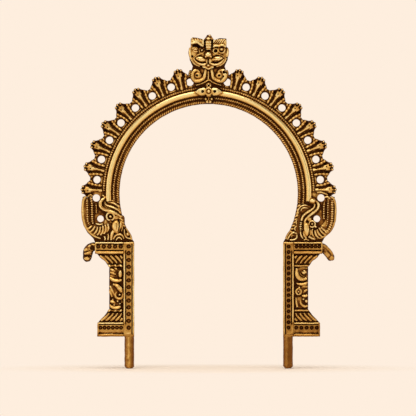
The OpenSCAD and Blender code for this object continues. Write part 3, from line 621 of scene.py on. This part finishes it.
PLUMES = {
    -1: {
        "edge": [(73.4, 84.2, 0.7), (74.9, 82.2, 0.9), (75.4, 78.6, 0.95), (75.4, 72.6, 0.95),
                 (74.6, 68.4, 0.95), (73.2, 65.0, 0.9), (70.9, 62.1, 0.8), (67.8, 59.9, 0.7),
                 (64.8, 58.8, 0.55)],
        "columns": (
            ([(72.9, 82.6), (72.8, 79.0), (72.7, 74.0), (72.5, 69.6), (71.5, 66.8)], 1.0),
            ([(71.0, 83.8), (70.5, 82.2), (70.0, 79.2), (69.9, 73.0), (69.8, 69.6),
              (69.2, 67.4)], 1.05),
            ([(67.5, 79.8), (67.4, 77.0), (67.3, 73.8)], 0.85)),
        "plain": ([(69.4, 84.2, 0.6), (71.0, 84.9, 0.7), (72.6, 83.8, 0.6)],
                  [(67.8, 67.6, 0.5), (65.4, 67.2, 0.55), (63.4, 67.6, 0.45)]),
        "fan": (
            [(72.6, 64.6), (71.2, 65.4), (69.8, 66.6)], [(70.9, 62.7), (69.3, 64.3), (68.2, 66.2)],
            [(68.9, 61.4), (67.3, 63.2), (66.5, 65.8)], [(66.8, 60.7), (65.3, 63.0), (64.9, 65.9)],
            [(64.8, 60.8), (63.4, 63.4), (63.4, 66.5)], [(62.8, 61.5), (61.6, 64.0), (62.0, 67.2)],
            [(61.0, 62.6), (60.0, 64.9), (60.6, 67.8)])},
    1: {
        "edge": [(73.4, 84.0, 0.7), (75.2, 82.0, 0.75), (75.9, 78.6, 0.75), (75.9, 72.4, 0.75),
                 (75.2, 68.0, 0.75), (73.6, 64.4, 0.75), (71.0, 61.4, 0.7), (67.8, 59.4, 0.65),
                 (64.6, 58.6, 0.55)],
        "columns": (
            ([(74.0, 81.6), (74.0, 77.0), (73.9, 71.4), (73.3, 67.4), (71.9, 64.4),
              (69.8, 62.0)], 1.15),
            ([(71.7, 82.6), (71.5, 77.6), (71.4, 72.0), (71.0, 67.6), (70.2, 65.8)], 0.85),
            ([(69.4, 80.6), (69.1, 77.6), (69.0, 74.0), (69.1, 70.2)], 0.85)),
        "plain": ([(69.6, 83.4, 0.6), (71.4, 83.8, 0.75), (72.8, 82.6, 0.65)],
                  [(64.9, 86.4, 0.5), (67.2, 86.5, 0.7), (69.6, 85.9, 0.7), (71.4, 85.0, 0.5)]),
        "fan": (
            [(71.8, 62.4), (69.6, 63.6), (67.2, 65.6)], [(70.2, 60.9), (67.9, 62.6), (66.0, 65.2)],
            [(68.2, 59.7), (66.2, 61.4), (64.9, 64.2)],
            [(66.2, 59.0), (64.5, 60.8), (63.6, 63.7)])}}
for m, word in SIDES:
    thread([(72.6, 83.0, 1.8), (73.2, 77.0, 2.4), (72.8, 71.0, 2.6), (71.0, 66.4, 2.8),
            (67.6, 63.4, 2.8), (64.2, 62.4, 2.2)], side=m, rise=0.24)
    thread(PLUMES[m]["edge"], side=m, rise=1.3)
    thread(*[ridged(path, half) for path, half in PLUMES[m]["columns"]], side=m, rise=2.0)
    thread(*PLUMES[m]["plain"], side=m, rise=1.6)
    fan = [[(x, z, half) for (x, z), half in zip(rib, RIB_HALVES)] for rib in PLUMES[m]["fan"]]
    thread(*fan, side=m, rise=2.1)
    plume = cast(seat=PLATE_Y)
    hand_over(plume, f"{word}_plume", f"plume_{word}", dull=-0.08)

# Edge cords. The leafy cord that carries the opening's edge from the arch's rope down to the
# pilaster: slanting pinches of wax that end in a folded leaf.
CORD_R, CORD_START, PINCH_START, PINCH_STEP = 54.3, 97.0, 98.2, 2.15
PINCH_ENDS = ((55.5, -0.9), (53.6, 0.7))
for m, word, last in ((-1, "left", 113.0), (1, "right", 117.0)):
    thread([(*arch_point(CORD_R, a), 0.55) for a in np.linspace(CORD_START, last, 8)], side=m)
    for a in np.arange(PINCH_START, last, PINCH_STEP):
        (x0, z0), (x1, z1) = (arch_point(r, a + turn) for r, turn in PINCH_ENDS)
        thread([(x0, z0, 0.5), ((x0 + x1) / 2, (z0 + z1) / 2, 0.72), (x1, z1, 0.5)],
               side=m, rise=2.0)
    if m < 0:
        thread([(49.6, 65.0, 0.5), (48.0, 62.4, 0.6), (46.6, 59.8, 0.6), (46.2, 58.0, 0.5)],
               [(50.5, 64.4, 0.5), (50.4, 61.8, 0.65), (49.2, 59.6, 0.75), (46.9, 58.6, 0.6)],
               side=m, rise=2.6)
        pellet(m * 48.7, 61.4, 0.95, 2.4, 1.3, -16)
    else:
        thread([(49.2, 63.6, 0.6), (47.4, 61.0, 0.7), (46.2, 58.4, 0.6)], side=m, rise=2.2)
    cord = cast(seat=PLATE_Y)
    hand_over(cord, f"{word}_edge_cord", f"edge_cord_{word}")

# Pilaster frames. The punched stile that runs down into the round peg, the punched top rail and
# the plinth, cast as bars with raised borders: edges rubbed round, ring punches left dark.
FRAME_Y = -2.2
SCRIBE, PUNCH = (0.38, 0.75), (1.25, 0.45)


def node_copy(node):
    """A merged copy of a CAD node, in millimetres, on the bench."""
    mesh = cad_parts[node].data.copy()
    mesh.transform(Matrix.Scale(1 / MM, 4))
    mesh.materials.clear()
    copy = bpy.data.objects.new(node + "_wax", mesh)
    bpy.context.collection.objects.link(copy)
    pick(copy)
    bpy.ops.object.mode_set(mode="EDIT")
    bpy.ops.mesh.select_all(action="SELECT")
    bpy.ops.mesh.remove_doubles(threshold=0.001)
    bpy.ops.object.mode_set(mode="OBJECT")
    bench.append(copy)


BARS = {
    "upright": {
        "name": "stile_and_peg", "punches": {-1: 13, 1: 16}, "row": ((47.92, 5.38), (47.92, 54.0)),
        "borders": (
            [(45.15, 0.6, 0.55), (45.15, 28.0, 0.55), (45.15, 56.0, 0.55)],
            [(50.45, 8.4, 0.55), (50.45, 28.0, 0.55), (50.45, 49.8, 0.55)],
            [(45.2, 56.15, 0.48), (50.8, 56.15, 0.48)], [(45.2, 0.6, 0.4), (50.8, 0.6, 0.4)]),
        "scribed": ([(45.9, 1.6), (45.9, 55.2)], [(49.7, 7.6), (49.7, 51.4)])},
    "top_rail": {
        "name": "punched_rail", "punches": {-1: 5, 1: 7}, "row": ((52.7, 54.0), (66.3, 54.0)),
        "borders": (
            [(51.0, 56.15, 0.48), (67.6, 56.15, 0.48)], [(51.0, 50.35, 0.62), (67.4, 50.35, 0.62)],
            [(67.75, 50.3, 0.45), (67.75, 56.1, 0.45)]),
        "scribed": ([(50.9, 55.45), (67.1, 55.45)], [(49.6, 51.6), (67.2, 51.6)])},
    "plinth": {
        "name": "punched_plinth", "punches": {-1: 6, 1: 5}, "row": ((52.5, 5.38), (64.92, 5.38)),
        "borders": (
            [(51.0, 7.95, 0.48), (66.2, 7.95, 0.48)], [(51.0, 0.7, 0.52), (66.0, 0.7, 0.52)],
            [(66.3, 0.8, 0.48), (66.3, 7.9, 0.48)]),
        "scribed": ([(50.9, 7.3), (65.7, 7.3)], [(49.9, 1.95), (65.8, 1.95)])}}
# The right frames are set darker than the left.
for m, word, dull in ((-1, "left", 0.17), (1, "right", 0.31)):
    for node, bar in BARS.items():
        node_copy(f"{node}_{word}")
        thread(*bar["borders"], side=m, rise=0.85, seat=FRAME_Y)
        lines = [([(m * x, z) for x, z in line], *SCRIBE) for line in bar["scribed"]]
        (x0, z0), (x1, z1) = bar["row"]
        rings = [(m * (x0 + t * (x1 - x0)), z0 + t * (z1 - z0), *PUNCH)
                 for t in np.linspace(0, 1, bar["punches"][m])]
        punched = cast(voxel=0.2, lines=lines, dots=rings)
        hand_over(punched, f"{word}_{bar['name']}", f"{node}_{word}", dull=dull)

# Capitals and leaf bases. Courses of slanting leaves above and below the shaft, each leaf a
# fat thread of wax on a splayed plate, with a thin fillet and a groove next to the shaft; on the
# left the tips of more leaves lie over the fillet.
STILE_X, SHAFT_X, NECK_X, GROOVE_X, BACK_Y = 50.9, 59.7, 62.3, 61.6, 2.6
LEAVES, LEAF_ROOT, LEAF_TIP = 5, 5.7, 1.1
FIRST_TIP, LAST_TIP, SLANT, MORE_SLANT = 1.6, 4.0, 2.9, 1.5
LEAF = ((0, 0.5, 0), (0.35, 0.8, -0.3), (0.7, 1.05, 0), (1, 0.85, 0.55))
COURSES = (("capital", "capital_leaves", 67.0, 49.6, 41.6),
           ("leaf_base", "base_leaves", 66.4, 8.4, 16.4))
# The right leaf courses are set darker than the left.
for m, word, dull in ((-1, "left", 0.04), (1, "right", 0.16)):
    for node, name, wide_x, wide_z, narrow_z in COURSES:
        up = 1 if wide_z > narrow_z else -1
        splay = [(STILE_X, wide_z), (wide_x, wide_z),
                 (wide_x * 0.55 + NECK_X * 0.45, wide_z - up * 2.16),
                 (NECK_X, wide_z - up * 4.32), (SHAFT_X, narrow_z), (STILE_X, narrow_z)]
        plate([(m * x, z) for x, z in splay], PLATE_Y, BACK_Y)
        z0, z1 = wide_z - up * LEAF_ROOT, wide_z - up * LEAF_TIP
        for k in range(LEAVES):
            x1 = STILE_X + FIRST_TIP + (wide_x - STILE_X - LAST_TIP) * k / (LEAVES - 1)
            x0 = x1 - SLANT - MORE_SLANT * k / (LEAVES - 1)
            leaf = [(x0 + t * (x1 - x0) + sway, z0 + t * (z1 - z0), half)
                    for t, half, sway in LEAF]
            thread([knot for knot in leaf if knot[0] > STILE_X + 0.5], side=m, rise=1.4)
        low = narrow_z + up * 0.8
        thread([(STILE_X + 0.5, low, 0.5), (55.0, low, 0.55), (SHAFT_X + 0.1, low, 0.45)],
               side=m, rise=1.2)
        for x in (53.6, 56.8, 60.4) if m < 0 else ():
            thread([(x, low + up * 1.0, 0.5), (x - 1.0, low, 0.9), (x - 1.9, low - up * 0.5, 0.5)],
                   side=m, rise=1.5)
        groove = [(m * STILE_X, low + up * 1.0), (m * GROOVE_X, low + up * 1.0)]
        leaves = cast(lines=[(groove, 0.35, 0.9)])
        hand_over(leaves, f"{word}_{name}", f"{node}_{word}", dull=dull)

# Shaft scrolls. Acanthus curls laid on the sunk shafts as wax threads; left and right were
# modelled apart, so the left one has a leaf with a spiral and the right one a crescent and a bud.
SHAFT_Y, FAT = -0.5, 1.28
thread([(59.2, 35.5, 0.7), (57.2, 34.0, 1.05), (54.6, 33.4, 1.15), (52.1, 34.0, 0.8)],
       [(59.1, 38.6, 0.6), (57.2, 37.9, 0.9), (55.5, 37.3, 0.7)],
       [(59.0, 40.5, 0.6), (57.4, 39.8, 0.9), (56.0, 39.0, 0.7)],
       [(56.6, 41.2, 0.5), (55.4, 40.6, 0.75), (54.6, 39.6, 0.5)],
       [(59.0, 36.9, 0.5), (57.4, 36.2, 0.7), (56.0, 35.7, 0.5)],
       [(57.4, 31.5, 0.7), (55.2, 30.7, 1.2), (53.4, 28.9, 1.45), (52.1, 26.6, 1.0)],
       [(51.8, 27.3, 0.7), (51.5, 25.0, 0.85), (52.4, 23.2, 0.9), (54.4, 22.9, 0.85),
        (55.7, 24.2, 0.8), (55.6, 26.2, 0.7), (54.5, 27.1, 0.5)],
       [(59.1, 30.6, 0.5), (57.7, 27.6, 0.8), (56.6, 24.6, 0.55)],
       [(59.3, 28.4, 0.5), (58.7, 26.2, 0.7), (57.8, 23.8, 0.5)],
       [(59.0, 21.2, 0.7), (57.4, 20.8, 1.05), (56.0, 19.8, 0.7)],
       [(59.3, 19.3, 0.6), (57.9, 17.8, 0.95), (55.0, 17.3, 1.0), (52.8, 18.2, 0.75)],
       [(52.1, 22.0, 0.5), (51.9, 20.2, 0.65)], side=-1, rise=1.8, seat=SHAFT_Y, fat=FAT)
pellet(-53.0, 37.6, 1.5, 3.0, 2.7, seat=SHAFT_Y)
pellet(-53.4, 25.1, 0.95, 2.6, seat=SHAFT_Y)
for x, z, size in ((54.6, 21.2, 0.95), (53.1, 19.7, 0.8), (56.6, 19.0, 0.8), (57.4, 22.4, 0.6)):
    pellet(-x, z, size, 2.2, seat=SHAFT_Y)
for z, up in ((37.4, 4.4), (27.2, 5.0), (19.6, 3.2)):
    pellet(-55.4, z, 4.2, 1.0, up, seat=SHAFT_Y)
scroll = cast(voxel=0.18, seat=SHAFT_Y, dots=[(-54.2, 39.4, 0.7, 1.4), (-55.2, 36.8, 0.55, 1.2)])
hand_over(scroll, "left_acanthus", "shaft_scroll_left")

thread([(52.7, 40.9, 0.9), (52.8, 38.0, 1.5), (53.9, 35.5, 1.7), (56.4, 34.3, 1.5),
        (58.9, 35.0, 0.9)],
       [(54.4, 41.0, 0.5), (56.8, 41.1, 0.6), (59.2, 40.9, 0.5)], rise=1.6, seat=SHAFT_Y)
pellet(57.1, 38.6, 1.9, 2.6, 1.8, seat=SHAFT_Y)
pellet(54.3, 29.4, 1.0, 2.2, 0.8, seat=SHAFT_Y)
thread([(52.6, 32.0, 0.6), (55.4, 31.3, 0.95), (58.0, 31.8, 0.9), (59.4, 32.7, 0.5)],
       [(55.6, 29.5, 0.6), (57.3, 30.0, 0.85), (59.3, 29.9, 0.6)],
       [(56.5, 25.8, 0.5), (57.8, 27.4, 0.8), (59.1, 28.4, 0.5)],
       [(56.0, 24.6, 0.7), (57.6, 24.2, 0.95), (59.2, 24.8, 0.6)],
       [(55.1, 22.0, 0.6), (55.4, 19.7, 0.85), (57.2, 18.3, 0.9), (59.3, 18.5, 0.6)],
       [(52.3, 23.4, 0.5), (52.5, 20.4, 0.8), (53.3, 17.6, 0.7)],
       rise=1.8, seat=SHAFT_Y, fat=FAT)
wax_ring(53.9, 27.0, 1.55, 0.75, seat=-1.6)
for x, z, size in ((53.9, 27.0, 0.8), (56.8, 22.4, 0.85), (58.4, 21.2, 1.15)):
    pellet(x, z, size, 2.4, seat=SHAFT_Y)
for z, up in ((37.4, 4.4), (28.6, 4.4), (20.6, 4.0)):
    pellet(55.5, z, 4.2, 1.0, up, seat=SHAFT_Y)
crescent = [([(54.4, 38.9), (55.2, 37.2), (57.0, 36.1), (59.2, 35.9)], 0.5, 1.6)]
pits = [(53.8, 28.0, 0.45, 0.8), (53.9, 25.9, 0.45, 0.8), (56.5, 39.3, 0.5, 1.1),
        (57.9, 37.6, 0.5, 1.1)]
scroll = cast(voxel=0.18, seat=SHAFT_Y, lines=crescent, dots=pits)
hand_over(scroll, "right_acanthus", "shaft_scroll_right", dull=0.05)

# Brackets. Stubs cast on the ends of the top rails, rough and dull: the left one a drooping bud
# with rings filed round it, the right one a short stalk with a ball end.
BRACKET_Y = 0.2
thread([(67.5, 53.8, 2.5), (69.2, 54.0, 2.6), (70.8, 53.2, 2.9), (72.0, 51.7, 3.05),
        (72.5, 50.0, 3.1), (72.7, 48.5, 2.75), (72.8, 47.2, 2.75), (72.6, 45.9, 2.2),
        (72.4, 44.9, 1.3)], side=-1, rise=0.8, seat=BRACKET_Y)
for x, z, across, up, lean in (
        (73.6, 52.0, 1.3, 1.0, 30), (72.4, 50.1, 2.3, 0.9, 14), (73.0, 46.8, 1.7, 1.0, 0),
        (69.0, 55.2, 1.6, 0.6, -10), (71.4, 54.2, 1.2, 0.8, 40)):
    pellet(-x, z, across, 1.0, up, -lean, seat=-1.8)
rings = [([(-75.6, 48.3), (-73.0, 48.6), (-70.4, 48.4)], 0.5, 0.8),
         ([(-71.4, 51.4), (-73.8, 50.9), (-75.2, 51.2)], 0.3, 0.5)]
pits = [(-69.8, 53.2, 1.5, 0.9), (-74.4, 53.6, 0.6, 0.5)]
hook = cast(voxel=0.22, soft=4, lines=rings, dots=pits)
hand_over(hook, "left_hook", "bracket_left", slot="cast_brass", dull=0.06)
thread([(67.4, 53.8, 2.4), (68.8, 53.2, 2.55), (70.2, 51.6, 2.55), (71.6, 49.9, 2.45),
        (72.8, 48.3, 2.45), (73.6, 47.1, 2.4), (74.3, 46.2, 1.6)], rise=0.84, seat=BRACKET_Y)
thread([(69.4, 54.8, 0.5), (71.4, 53.0, 0.8), (73.2, 51.0, 0.8), (74.6, 49.0, 0.5)], seat=-1.0)
pellet(73.9, 46.9, 1.5, 1.0, 1.4, seat=-1.6)
strokes = [([(68.6, 53.6), (70.4, 52.2), (72.4, 50.0), (73.2, 48.8)], 0.55, 0.4),
           ([(71.6, 46.8), (72.8, 48.4)], 0.4, 0.3)]
stub = cast(voxel=0.22, soft=4, lines=strokes, dots=[(69.6, 51.6, 1.5, 0.5)])
hand_over(stub, "right_hook", "bracket_right", slot="cast_brass", dull=0.12)

# Plates. Flat brass strips and plates that carry all the relief: the arch's band, the two
# pierced webs, the plate behind the mask, the springers and the sunk shafts. Cast with the
# rest, so the piercings have soft edges and patina lies thick beside the relief.
PLATES = (("arch_band", "flat_band", 0.05), ("fringe_web_left", "left_pierced_web", 0.12),
          ("fringe_web_right", "right_pierced_web", 0.12), ("crown_plate", "mask_plate", 0.15),
          # The springers' ground under the makaras is set darkest: patina and painted shade.
          ("springer_left", "left_springer", 0.45), ("springer_right", "right_springer", 0.47),
          ("shaft_left", "left_sunk_shaft", 0.18), ("shaft_right", "right_sunk_shaft", 0.2))
for node, name, dull in PLATES:
    node_copy(node)
    flat = cast(voxel=0.26, soft=2, keep=0.45 if node == "arch_band" else 1.0)
    hand_over(flat, name, node, dull=dull)

# Antique finish. The whole casting is darkened with patina and rubbed back by hand: high ridges
# shine, and hollows and the feet of the forms stay brown; the ground round the flower is darker
# with patina and painted shade. Each vertex keeps its level of wear and painted light; outer walls
# and back are even, the pegs mottled with a painted highlight down their fronts, and the roll has
# a painted highlight along its crest and painted shade on its inner side.
RECESS = (0.060, 0.0165, 0.0032)
CELL = 0.25
LOW_X, LOW_Z, WIDE, TALL = -82.0, -24.0, 164.0, 212.0
NEAR, NEAR_STEP, NEAR_RANGE = 0.9, 0.6, (-1.4, 1.2)
BROAD, BROAD_STEP, BROAD_RANGE = 2.6, 1.5, (-1.2, 1.2)
EMPTY, GAP_CELLS, FOOT_CELLS = 99.0, 5, 3
SUNK, PROUD, RAISED, FRONT, HOLLOW, FOOT = 0.18, 0.4, 0.16, 0.16, 0.36, 0.12
# The roll: a painted highlight along its front-facing crest, painted shade on its inner side and a
# little on its outer side, patina in its hollows.
ROLL_SIDE, ROLL_PAINTED_HIGHLIGHT, ROLL_INNER_SHADE, ROLL_OUTER_SHADE, ROLL_HOLLOW = 0.46, 0.52, 0.3, -0.04, 0.5
USUAL_WEAR, WALL_WEAR, BACK_WEAR, LOW_EDGE_CAP, PEG_WEAR = 0.48, 0.4, 0.38, 0.36, 0.22
LOW_EDGE_Z, PEG_Z = 1.4, -0.3
# Round the flower the ground below nearby higher forms is darkened: patina in the seam and painted
# shade.
FLOWER_WIDE, FLOWER_TALL, FLOWER_PATINA_AND_SHADE = 10, 6, 0.5
# For each peg: where its painted highlight stripe is centred by sideways facing, how wide and
# bright it is, and how mottled.
LEFT_PEG, RIGHT_PEG = (-0.1, 0.75, 0.36, 0.3), (-0.35, 0.45, 0.16, 0.1)


def cells(at):
    """Row and column of each point on the height map."""
    return ((at[:, 2] - LOW_Z) / CELL).astype(int), ((at[:, 0] - LOW_X) / CELL).astype(int)


def blurred(field, radius):
    """A field averaged over a square of that radius, three times over, which is nearly round."""
    n = max(1, round(radius / CELL / 1.7))
    for _ in range(3):
        for axis in (0, 1):
            pad = [(n + 1, n) if a == axis else (0, 0) for a in (0, 1)]
            total = np.cumsum(np.pad(field, pad, mode="edge"), axis=axis)
            size = field.shape[axis]
            field = (np.take(total, range(2 * n + 1, 2 * n + 1 + size), axis=axis)
                     - np.take(total, range(size), axis=axis)) / (2 * n + 1)
    return field


heights = np.full((round(TALL / CELL), round(WIDE / CELL)), -EMPTY)
for piece in relief:
    at, _ = points_of(piece, MM)
    np.maximum.at(heights, cells(at), -at[:, 1])
known = (heights > -EMPTY).astype(float)
heights = np.where(known > 0, heights, 0)
weight = np.maximum(known, 0.02)
around = {r: blurred(heights * weight, r) / blurred(weight, r) for r in (NEAR, BROAD)}
cover = blurred(known, NEAR)


def spread(field, choose, outside, reach):
    """The highest or lowest value, as chosen, within a reach in cells; outside off the object."""
    field = np.where(known > 0, field, outside)
    for axis in (0, 1):
        row = field
        for step in range(1, reach + 1):
            field = choose(field, choose(np.roll(row, step, axis), np.roll(row, -step, axis)))
    return field


def part(value, start, length):
    """How far a value is along a length from its start, from 0 to 1."""
    return np.clip((value - start) / length, 0, 1)


filled = spread(spread(heights, np.maximum, -EMPTY, GAP_CELLS), np.minimum, EMPTY, GAP_CELLS)
over = spread(heights, np.maximum, -EMPTY, FOOT_CELLS)

antique_brass = old_brass(
    "antique_brass", [(0, RECESS), (0.24, BROWN), (0.52, GOLD), (0.78, RUBBED_AND_HIGHLIGHT), (1, BRIGHT)],
    (0.58, 0.26), mottle=0.24, grain=0.16)
cast_brass = old_brass(
    "cast_brass", [(0, RECESS), (0.25, BROWN), (0.62, GOLD), (1, RUBBED_AND_HIGHLIGHT)], (0.62, 0.38),
    mottle=0.4, grain=0.25, dents=0.25)
for piece, dull in relief.items():
    at, facing = points_of(piece, MM)
    where = cells(at)
    stands = -at[:, 1]
    near = np.clip((stands - around[NEAR][where]) / NEAR_STEP, *NEAR_RANGE)
    broad = np.clip((stands - around[BROAD][where]) / BROAD_STEP, *BROAD_RANGE)
    to_front = np.clip(-facing[:, 1], 0, 1)
    hollow = part(filled[where] - stands, 0, 1.0)
    foot = part(over[where] - stands, 0.5, 1.5)
    if piece is roll:
        out_x, out_z = at[:, 0], at[:, 2] - ARCH_Z
        outward = (facing[:, 0] * out_x + facing[:, 2] * out_z) / np.hypot(out_x, out_z)
        # Painted highlight down the roll's front-facing crest; painted shade on its inner side and
        # a little on its outer side.
        wear_and_painted_light = ROLL_SIDE + ROLL_PAINTED_HIGHLIGHT * to_front - ROLL_HOLLOW * hollow
        wear_and_painted_light += np.where(outward < 0, ROLL_INNER_SHADE, ROLL_OUTER_SHADE) * outward
    else:
        wear_and_painted_light = USUAL_WEAR + np.where(near < 0, SUNK, PROUD) * near
        wear_and_painted_light += RAISED * broad + FRONT * (to_front - 0.5)
        wear_and_painted_light -= HOLLOW * hollow + FOOT * foot + dull
        wall = (1 - part(np.abs(facing[:, 1]), 0, 0.6)) * part(0.95 - cover[where], 0, 0.3)
        wear_and_painted_light += wall * (WALL_WEAR - wear_and_painted_light)
        wear_and_painted_light = np.where(facing[:, 1] > 0.3, BACK_WEAR, wear_and_painted_light)
    # Ground round the flower, below nearby higher forms, is darkened with patina and painted
    # shade.
    if piece is not flower:
        by_flower = (np.abs(at[:, 0]) < FLOWER_WIDE) & (np.abs(at[:, 2] - FLOWER_Z) < FLOWER_TALL)
        by_flower &= facing[:, 1] < 0
        wear_and_painted_light -= np.where(by_flower, FLOWER_PATINA_AND_SHADE * part(over[where] - stands, 0.3, 0.8), 0)
    # Below LOW_EDGE_Z the level is capped, so the lowest edges stay darker.
    wear_and_painted_light = np.where(at[:, 2] < LOW_EDGE_Z, np.minimum(wear_and_painted_light, LOW_EDGE_CAP), wear_and_painted_light)
    # The round pegs: a dull base level with a mottled painted highlight stripe down the side
    # facing the front.
    for i in np.flatnonzero(at[:, 2] < PEG_Z):
        middle, wide, shine, mottle = LEFT_PEG if at[i, 0] < 0 else RIGHT_PEG
        painted_highlight = max(0, 1 - abs(facing[i, 0] - middle) / wide) * to_front[i]
        blotch = noise.noise(Vector(at[i]) * 0.9) + 0.6 * noise.noise(Vector(at[i]) * 2.3)
        wear_and_painted_light[i] = PEG_WEAR + (shine + mottle * blotch) * painted_highlight
    # The level kept per vertex: patina and wear, with painted highlight and shade on the roll, a
    # painted highlight stripe on the pegs and painted shade round the flower.
    kept = piece.data.attributes.new("wear_and_painted_light", "FLOAT", "POINT")
    kept.data.foreach_set("value", np.clip(wear_and_painted_light, 0, 1).astype(np.float32))
    if piece is not roll:
        rough_cast = piece["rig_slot"] == "cast_brass"
        piece.data.materials.append(cast_brass if rough_cast else antique_brass)

# Studio. A pale cream floor and surround, soft light from large boxes, and a long lens straight
# in front, as for a catalogue picture.
CREAM = (0.991, 0.855, 0.730, 1)
ROOM, LAMP = (1.0, 0.93, 0.84, 1), (1.0, 0.96, 0.9)
FLOOR_R, FLOOR_Z = 3, cad_box[0].z - 0.0002
SHADOW_FROM, SHADOW_TO, SHADOW_SHAPE = 0.03, 0.11, (0.7, 1.6, 1.0)


def seen(tree):
    """1 for what the camera sees, straight or by reflection or through glass."""
    rays = add_node(tree, "LightPath")
    shine = maths(tree, "MAXIMUM", rays.outputs["Is Glossy Ray"],
                  rays.outputs["Is Transmission Ray"])
    return maths(tree, "MAXIMUM", rays.outputs["Is Camera Ray"], shine), rays


bpy.ops.mesh.primitive_circle_add(vertices=96, radius=FLOOR_R, fill_type="NGON",
                                  location=(0, 0, FLOOR_Z))
floor = bpy.context.object
floor.name = "floor"
floor_paper = bpy.data.materials.new("floor_paper")
floor_paper.use_nodes = True
tree = floor_paper.node_tree
paper = tree.nodes["Principled BSDF"]
paper.inputs["Base Color"].default_value = CREAM
paper.inputs["Roughness"].default_value = 0.9
paper.inputs["Specular IOR Level"].default_value = 0.1
glow = add_node(tree, "Emission", Color=CREAM, Strength=1.0)
place = add_node(tree, "Mapping", Vector=add_node(tree, "TexCoord").outputs["Object"],
                 Scale=SHADOW_SHAPE)
away = add_node(tree, "VectorMath", {"operation": "LENGTH"}, _0=place.outputs["Vector"])
far = add_node(tree, "MapRange", {"interpolation_type": "SMOOTHSTEP"},
               Value=away.outputs["Value"], From_Min=SHADOW_FROM, From_Max=SHADOW_TO)
to_eye, _ = seen(tree)
share = maths(tree, "MULTIPLY", far.outputs["Result"], to_eye)
blend = add_node(tree, "MixShader", _0=share, _1=paper.outputs[0], _2=glow.outputs[0])
tree.links.new(blend.outputs[0], tree.nodes["Material Output"].inputs["Surface"])
floor.data.materials.append(floor_paper)

world = bpy.data.worlds.new("studio")
bpy.context.scene.world = world
world.use_nodes = True
tree = world.node_tree
tree.nodes.clear()
room = add_node(tree, "Background", Color=ROOM, Strength=0.3)
surround = add_node(tree, "Background", Color=CREAM, Strength=1.0)
to_eye, rays = seen(tree)
behind = add_node(tree, "SeparateXYZ", Vector=add_node(tree, "TexCoord").outputs["Generated"])
back_half = add_node(tree, "MapRange", Value=behind.outputs["Y"], From_Min=0.0, From_Max=0.5)
shown = maths(tree, "MAXIMUM", rays.outputs["Is Camera Ray"], back_half.outputs[0])
share = maths(tree, "MULTIPLY", to_eye, shown)
mixed = add_node(tree, "MixShader", _0=share, _1=room.outputs[0], _2=surround.outputs[0])
add_node(tree, "OutputWorld", Surface=mixed.outputs[0])

MIDDLE = Vector((0, 0, 0.08))
SOFTBOXES = (("front_box", (-0.15, -1.6, 0.5), 1.7, 0.62),
             ("top_box", (-0.1, -0.5, 1.5), 1.3, 2.7),
             ("left_box", (-1.4, -0.4, 0.4), 1.5, 1.15),
             ("right_box", (1.4, -0.4, 0.4), 1.5, 0.95),
             ("back_box", (0.3, 1.5, 0.6), 1.2, 0.8))
for name, place, size, brightness in SOFTBOXES:
    lamp = bpy.data.lights.new(name, "AREA")
    lamp.size = size
    lamp.energy = brightness * math.pi * size * size
    lamp.color = LAMP
    box = bpy.data.objects.new(name, lamp)
    box.location = place
    box.rotation_euler = (MIDDLE - Vector(place)).to_track_quat("-Z", "Y").to_euler()
    bpy.context.collection.objects.link(box)

VIEW_WIDTH, VIEW_AWAY, AIM_X, AIM_Z = 0.2496, 2.0, -0.0004, 0.0771
lens = bpy.data.cameras.new("long_lens")
lens.sensor_width = 36
lens.lens = lens.sensor_width * VIEW_AWAY / VIEW_WIDTH
lens.clip_end = 20
camera = bpy.data.objects.new("camera", lens)
camera.location = (AIM_X, -VIEW_AWAY, AIM_Z)
camera.rotation_euler = (math.pi / 2, 0, 0)
bpy.context.collection.objects.link(camera)
bpy.context.scene.camera = camera
bpy.context.scene.view_settings.view_transform = "Standard"
